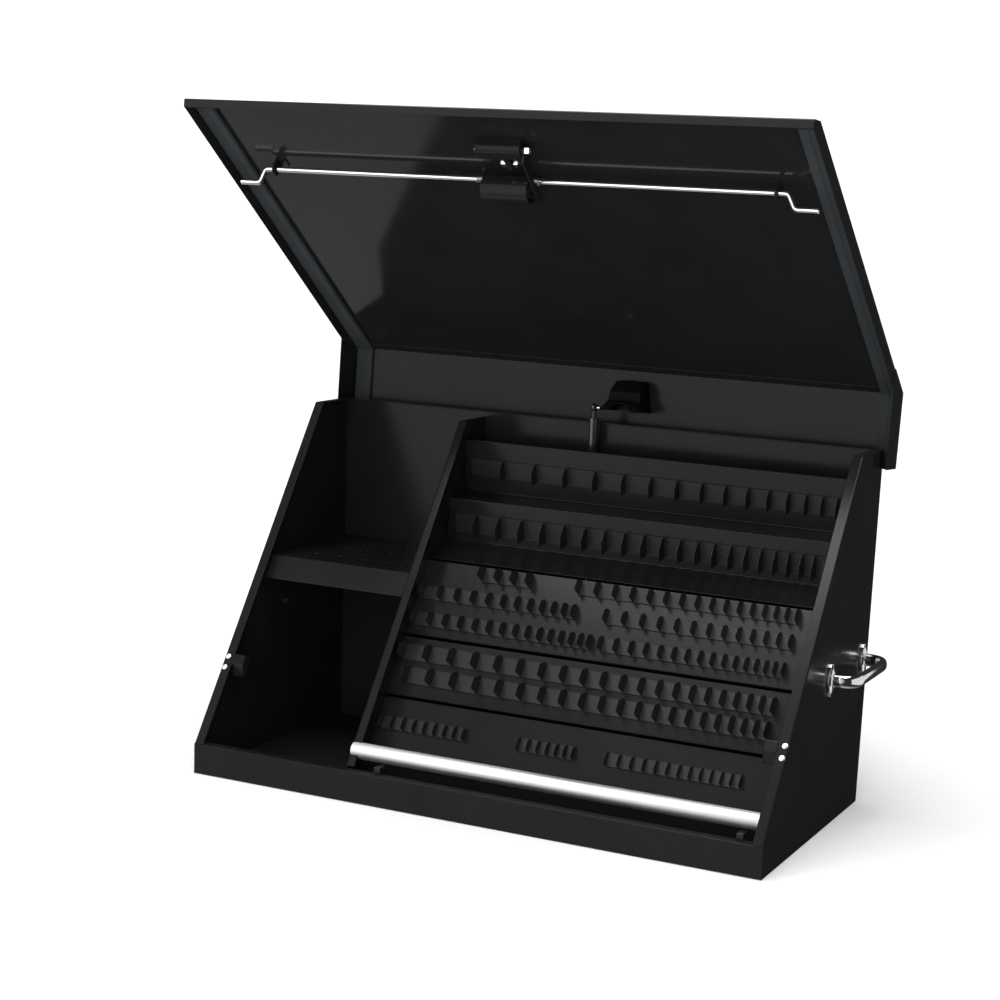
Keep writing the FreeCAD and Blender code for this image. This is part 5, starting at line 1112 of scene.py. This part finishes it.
def paper_sweep():
    """White paper, lit near the chest and glowing further off, so that it ends in the white background."""
    paper = bpy.data.materials.new("white paper")
    paper.use_nodes = True
    tree = paper.node_tree
    matt = tree.nodes["Principled BSDF"]
    matt.inputs["Base Color"].default_value = (0.9, 0.9, 0.9, 1)
    matt.inputs["Roughness"].default_value = 0.9
    matt.inputs["Specular IOR Level"].default_value = 0.0
    glow = tree.nodes.new("ShaderNodeEmission")
    glow.inputs["Strength"].default_value = 1.15
    place = tree.nodes.new("ShaderNodeTexCoord")
    distance = tree.nodes.new("ShaderNodeVectorMath")
    distance.operation = "LENGTH"
    fade = tree.nodes.new("ShaderNodeMapRange")
    fade.interpolation_type = "SMOOTHSTEP"
    fade.inputs["From Min"].default_value = 0.75
    fade.inputs["From Max"].default_value = 1.5
    blend = tree.nodes.new("ShaderNodeMixShader")
    tree.links.new(place.outputs["Object"], distance.inputs[0])
    tree.links.new(distance.outputs["Value"], fade.inputs["Value"])
    tree.links.new(fade.outputs["Result"], blend.inputs["Fac"])
    tree.links.new(matt.outputs["BSDF"], blend.inputs[1])
    tree.links.new(glow.outputs["Emission"], blend.inputs[2])
    tree.links.new(blend.outputs["Shader"], tree.nodes["Material Output"].inputs["Surface"])
    return paper


ground.materials.append(paper_sweep())
studio_floor.visible_glossy = False

world = bpy.data.worlds.new("white studio")
bpy.context.scene.world = world
world.use_nodes = True
sky = world.node_tree
surround = sky.nodes["Background"]
surround.inputs["Color"].default_value = (0.95, 0.97, 1.0, 1)
heading_of = sky.nodes.new("ShaderNodeTexCoord")


def glow_towards(direction, start, full, strength):
    """Light that rises smoothly as a ray's heading turns towards a direction."""
    toward = sky.nodes.new("ShaderNodeVectorMath")
    toward.operation = "DOT_PRODUCT"
    toward.inputs[1].default_value = Vector(direction).normalized()
    rise = sky.nodes.new("ShaderNodeMapRange")
    rise.interpolation_type = "SMOOTHSTEP"
    rise.inputs["From Min"].default_value = start
    rise.inputs["From Max"].default_value = full
    rise.inputs["To Max"].default_value = strength
    sky.links.new(heading_of.outputs["Generated"], toward.inputs[0])
    sky.links.new(toward.outputs["Value"], rise.inputs["Value"])
    return rise.outputs["Result"]


def added(first, second):
    """The sum of two strengths."""
    total = sky.nodes.new("ShaderNodeMath")
    total.operation = "ADD"
    for socket, value in zip(total.inputs, (first, second)):
        if isinstance(value, float):
            socket.default_value = value
        else:
            sky.links.new(value, socket)
    return total.outputs["Value"]


from_front = glow_towards((-0.42, -0.88, 0.06), 0.62, 0.95, 0.8)
from_floor = glow_towards((-0.35, 0.15, -1.0), 0.5, 0.98, 0.42)
sky.links.new(added(added(from_front, from_floor), 0.03), surround.inputs["Strength"])
white = sky.nodes.new("ShaderNodeBackground")
white.inputs["Color"].default_value = (1.0, 1.0, 1.0, 1)
white.inputs["Strength"].default_value = 1.2
soft = sky.nodes.new("ShaderNodeBackground")
soft.inputs["Strength"].default_value = 0.35
seen = sky.nodes.new("ShaderNodeLightPath")
shone = sky.nodes.new("ShaderNodeMixShader")
both = sky.nodes.new("ShaderNodeMixShader")
sky.links.new(seen.outputs["Is Diffuse Ray"], shone.inputs["Fac"])
sky.links.new(surround.outputs["Background"], shone.inputs[1])
sky.links.new(soft.outputs["Background"], shone.inputs[2])
sky.links.new(seen.outputs["Is Camera Ray"], both.inputs["Fac"])
sky.links.new(shone.outputs["Shader"], both.inputs[1])
sky.links.new(white.outputs["Background"], both.inputs[2])
sky.links.new(both.outputs["Shader"], sky.nodes["World Output"].inputs["Surface"])


def soft_light(name, place, target, width, height, power):
    """A rectangular soft box at a place, turned to a target."""
    lamp = bpy.data.lights.new(name, "AREA")
    lamp.shape = "RECTANGLE"
    lamp.size = width
    lamp.size_y = height
    lamp.energy = power
    box = bpy.data.objects.new(name, lamp)
    bpy.context.scene.collection.objects.link(box)
    box.location = place
    box.rotation_mode = "QUATERNION"
    box.rotation_quaternion = (Vector(target) - Vector(place)).to_track_quat("-Z", "Y")
    return box


soft_light("overhead box", (0.0, -0.6, 3.4), (0.0, 0.0, 0.0), 3.4, 2.6, 170.0)
metals = bpy.data.collections.new("bright metal")
for piece in bpy.context.scene.objects:
    if piece.type == "MESH" and any(name in piece.name for name in
                                    ("grip", "front_tube", "latch_bar", "screws", "wire", "cylinder", "piston")):
        metals.objects.link(piece)
for card in (soft_light("right card", (2.3, 0.75, 0.2), (0.45, 0.1, 0.2), 4.6, 2.6, 28.0),
             soft_light("front card", (-1.6, -2.7, 1.5), (0.0, -0.1, 0.2), 3.6, 3.2, 60.0)):
    card.light_linking.receiver_collection = metals
    card.visible_camera = False
fill = soft_light("fill", (0.6, -3.4, 1.0), (0.0, 0.0, 0.3), 2.0, 2.0, 60.0)
fill.visible_glossy = False

camera_data = bpy.data.cameras.new("camera")
camera = bpy.data.objects.new("camera", camera_data)
bpy.context.scene.collection.objects.link(camera)
bpy.context.scene.camera = camera
YAW = math.radians(24.543897)
PITCH = math.radians(12.656281)
ROLL = math.radians(2.634649)
camera_data.sensor_width = 36.0
camera_data.lens = 74.780419
camera_data.shift_x = -0.053133
camera_data.shift_y = 0.14
ahead = Vector((-math.sin(YAW) * math.cos(PITCH), math.cos(YAW) * math.cos(PITCH), -math.sin(PITCH)))
level = Vector((math.cos(YAW), math.sin(YAW), 0.0))
upright = level.cross(ahead)
right_axis = math.cos(ROLL) * level + math.sin(ROLL) * upright
up_axis = -math.sin(ROLL) * level + math.cos(ROLL) * upright
turn = Matrix((right_axis, up_axis, -ahead)).transposed()
camera.matrix_world = Matrix.Translation((1.293768, -2.756382, 0.915401)) @ turn.to_4x4()
camera_data.clip_end = 200.0
bpy.context.scene.view_settings.view_transform = "Standard"
bpy.context.scene.view_settings.look = "None"


# The small fittings that the frame already holds at their true shape get the finish of the real ones
finish_of = {"black_powder_coat": gloss_coat, "textured_black": texture_coat, "black_plastic": black_plastic,
             "grey_foam": rubber, "polished_tube": ground_tube, "chrome": chrome, "spring_steel": spring_wire,
             "bright_zinc": zinc_rod}
slot_of = {part["node"]: part["material_slot"] for part in frame["record"]["subparts"]}
for name, node in frame["nodes"].items():
    for material_slot in node.material_slots:
        material_slot.material = finish_of[slot_of[name]]
    if slot_of[name] == "bright_zinc" and node.name not in metals.objects:
        metals.objects.link(node)
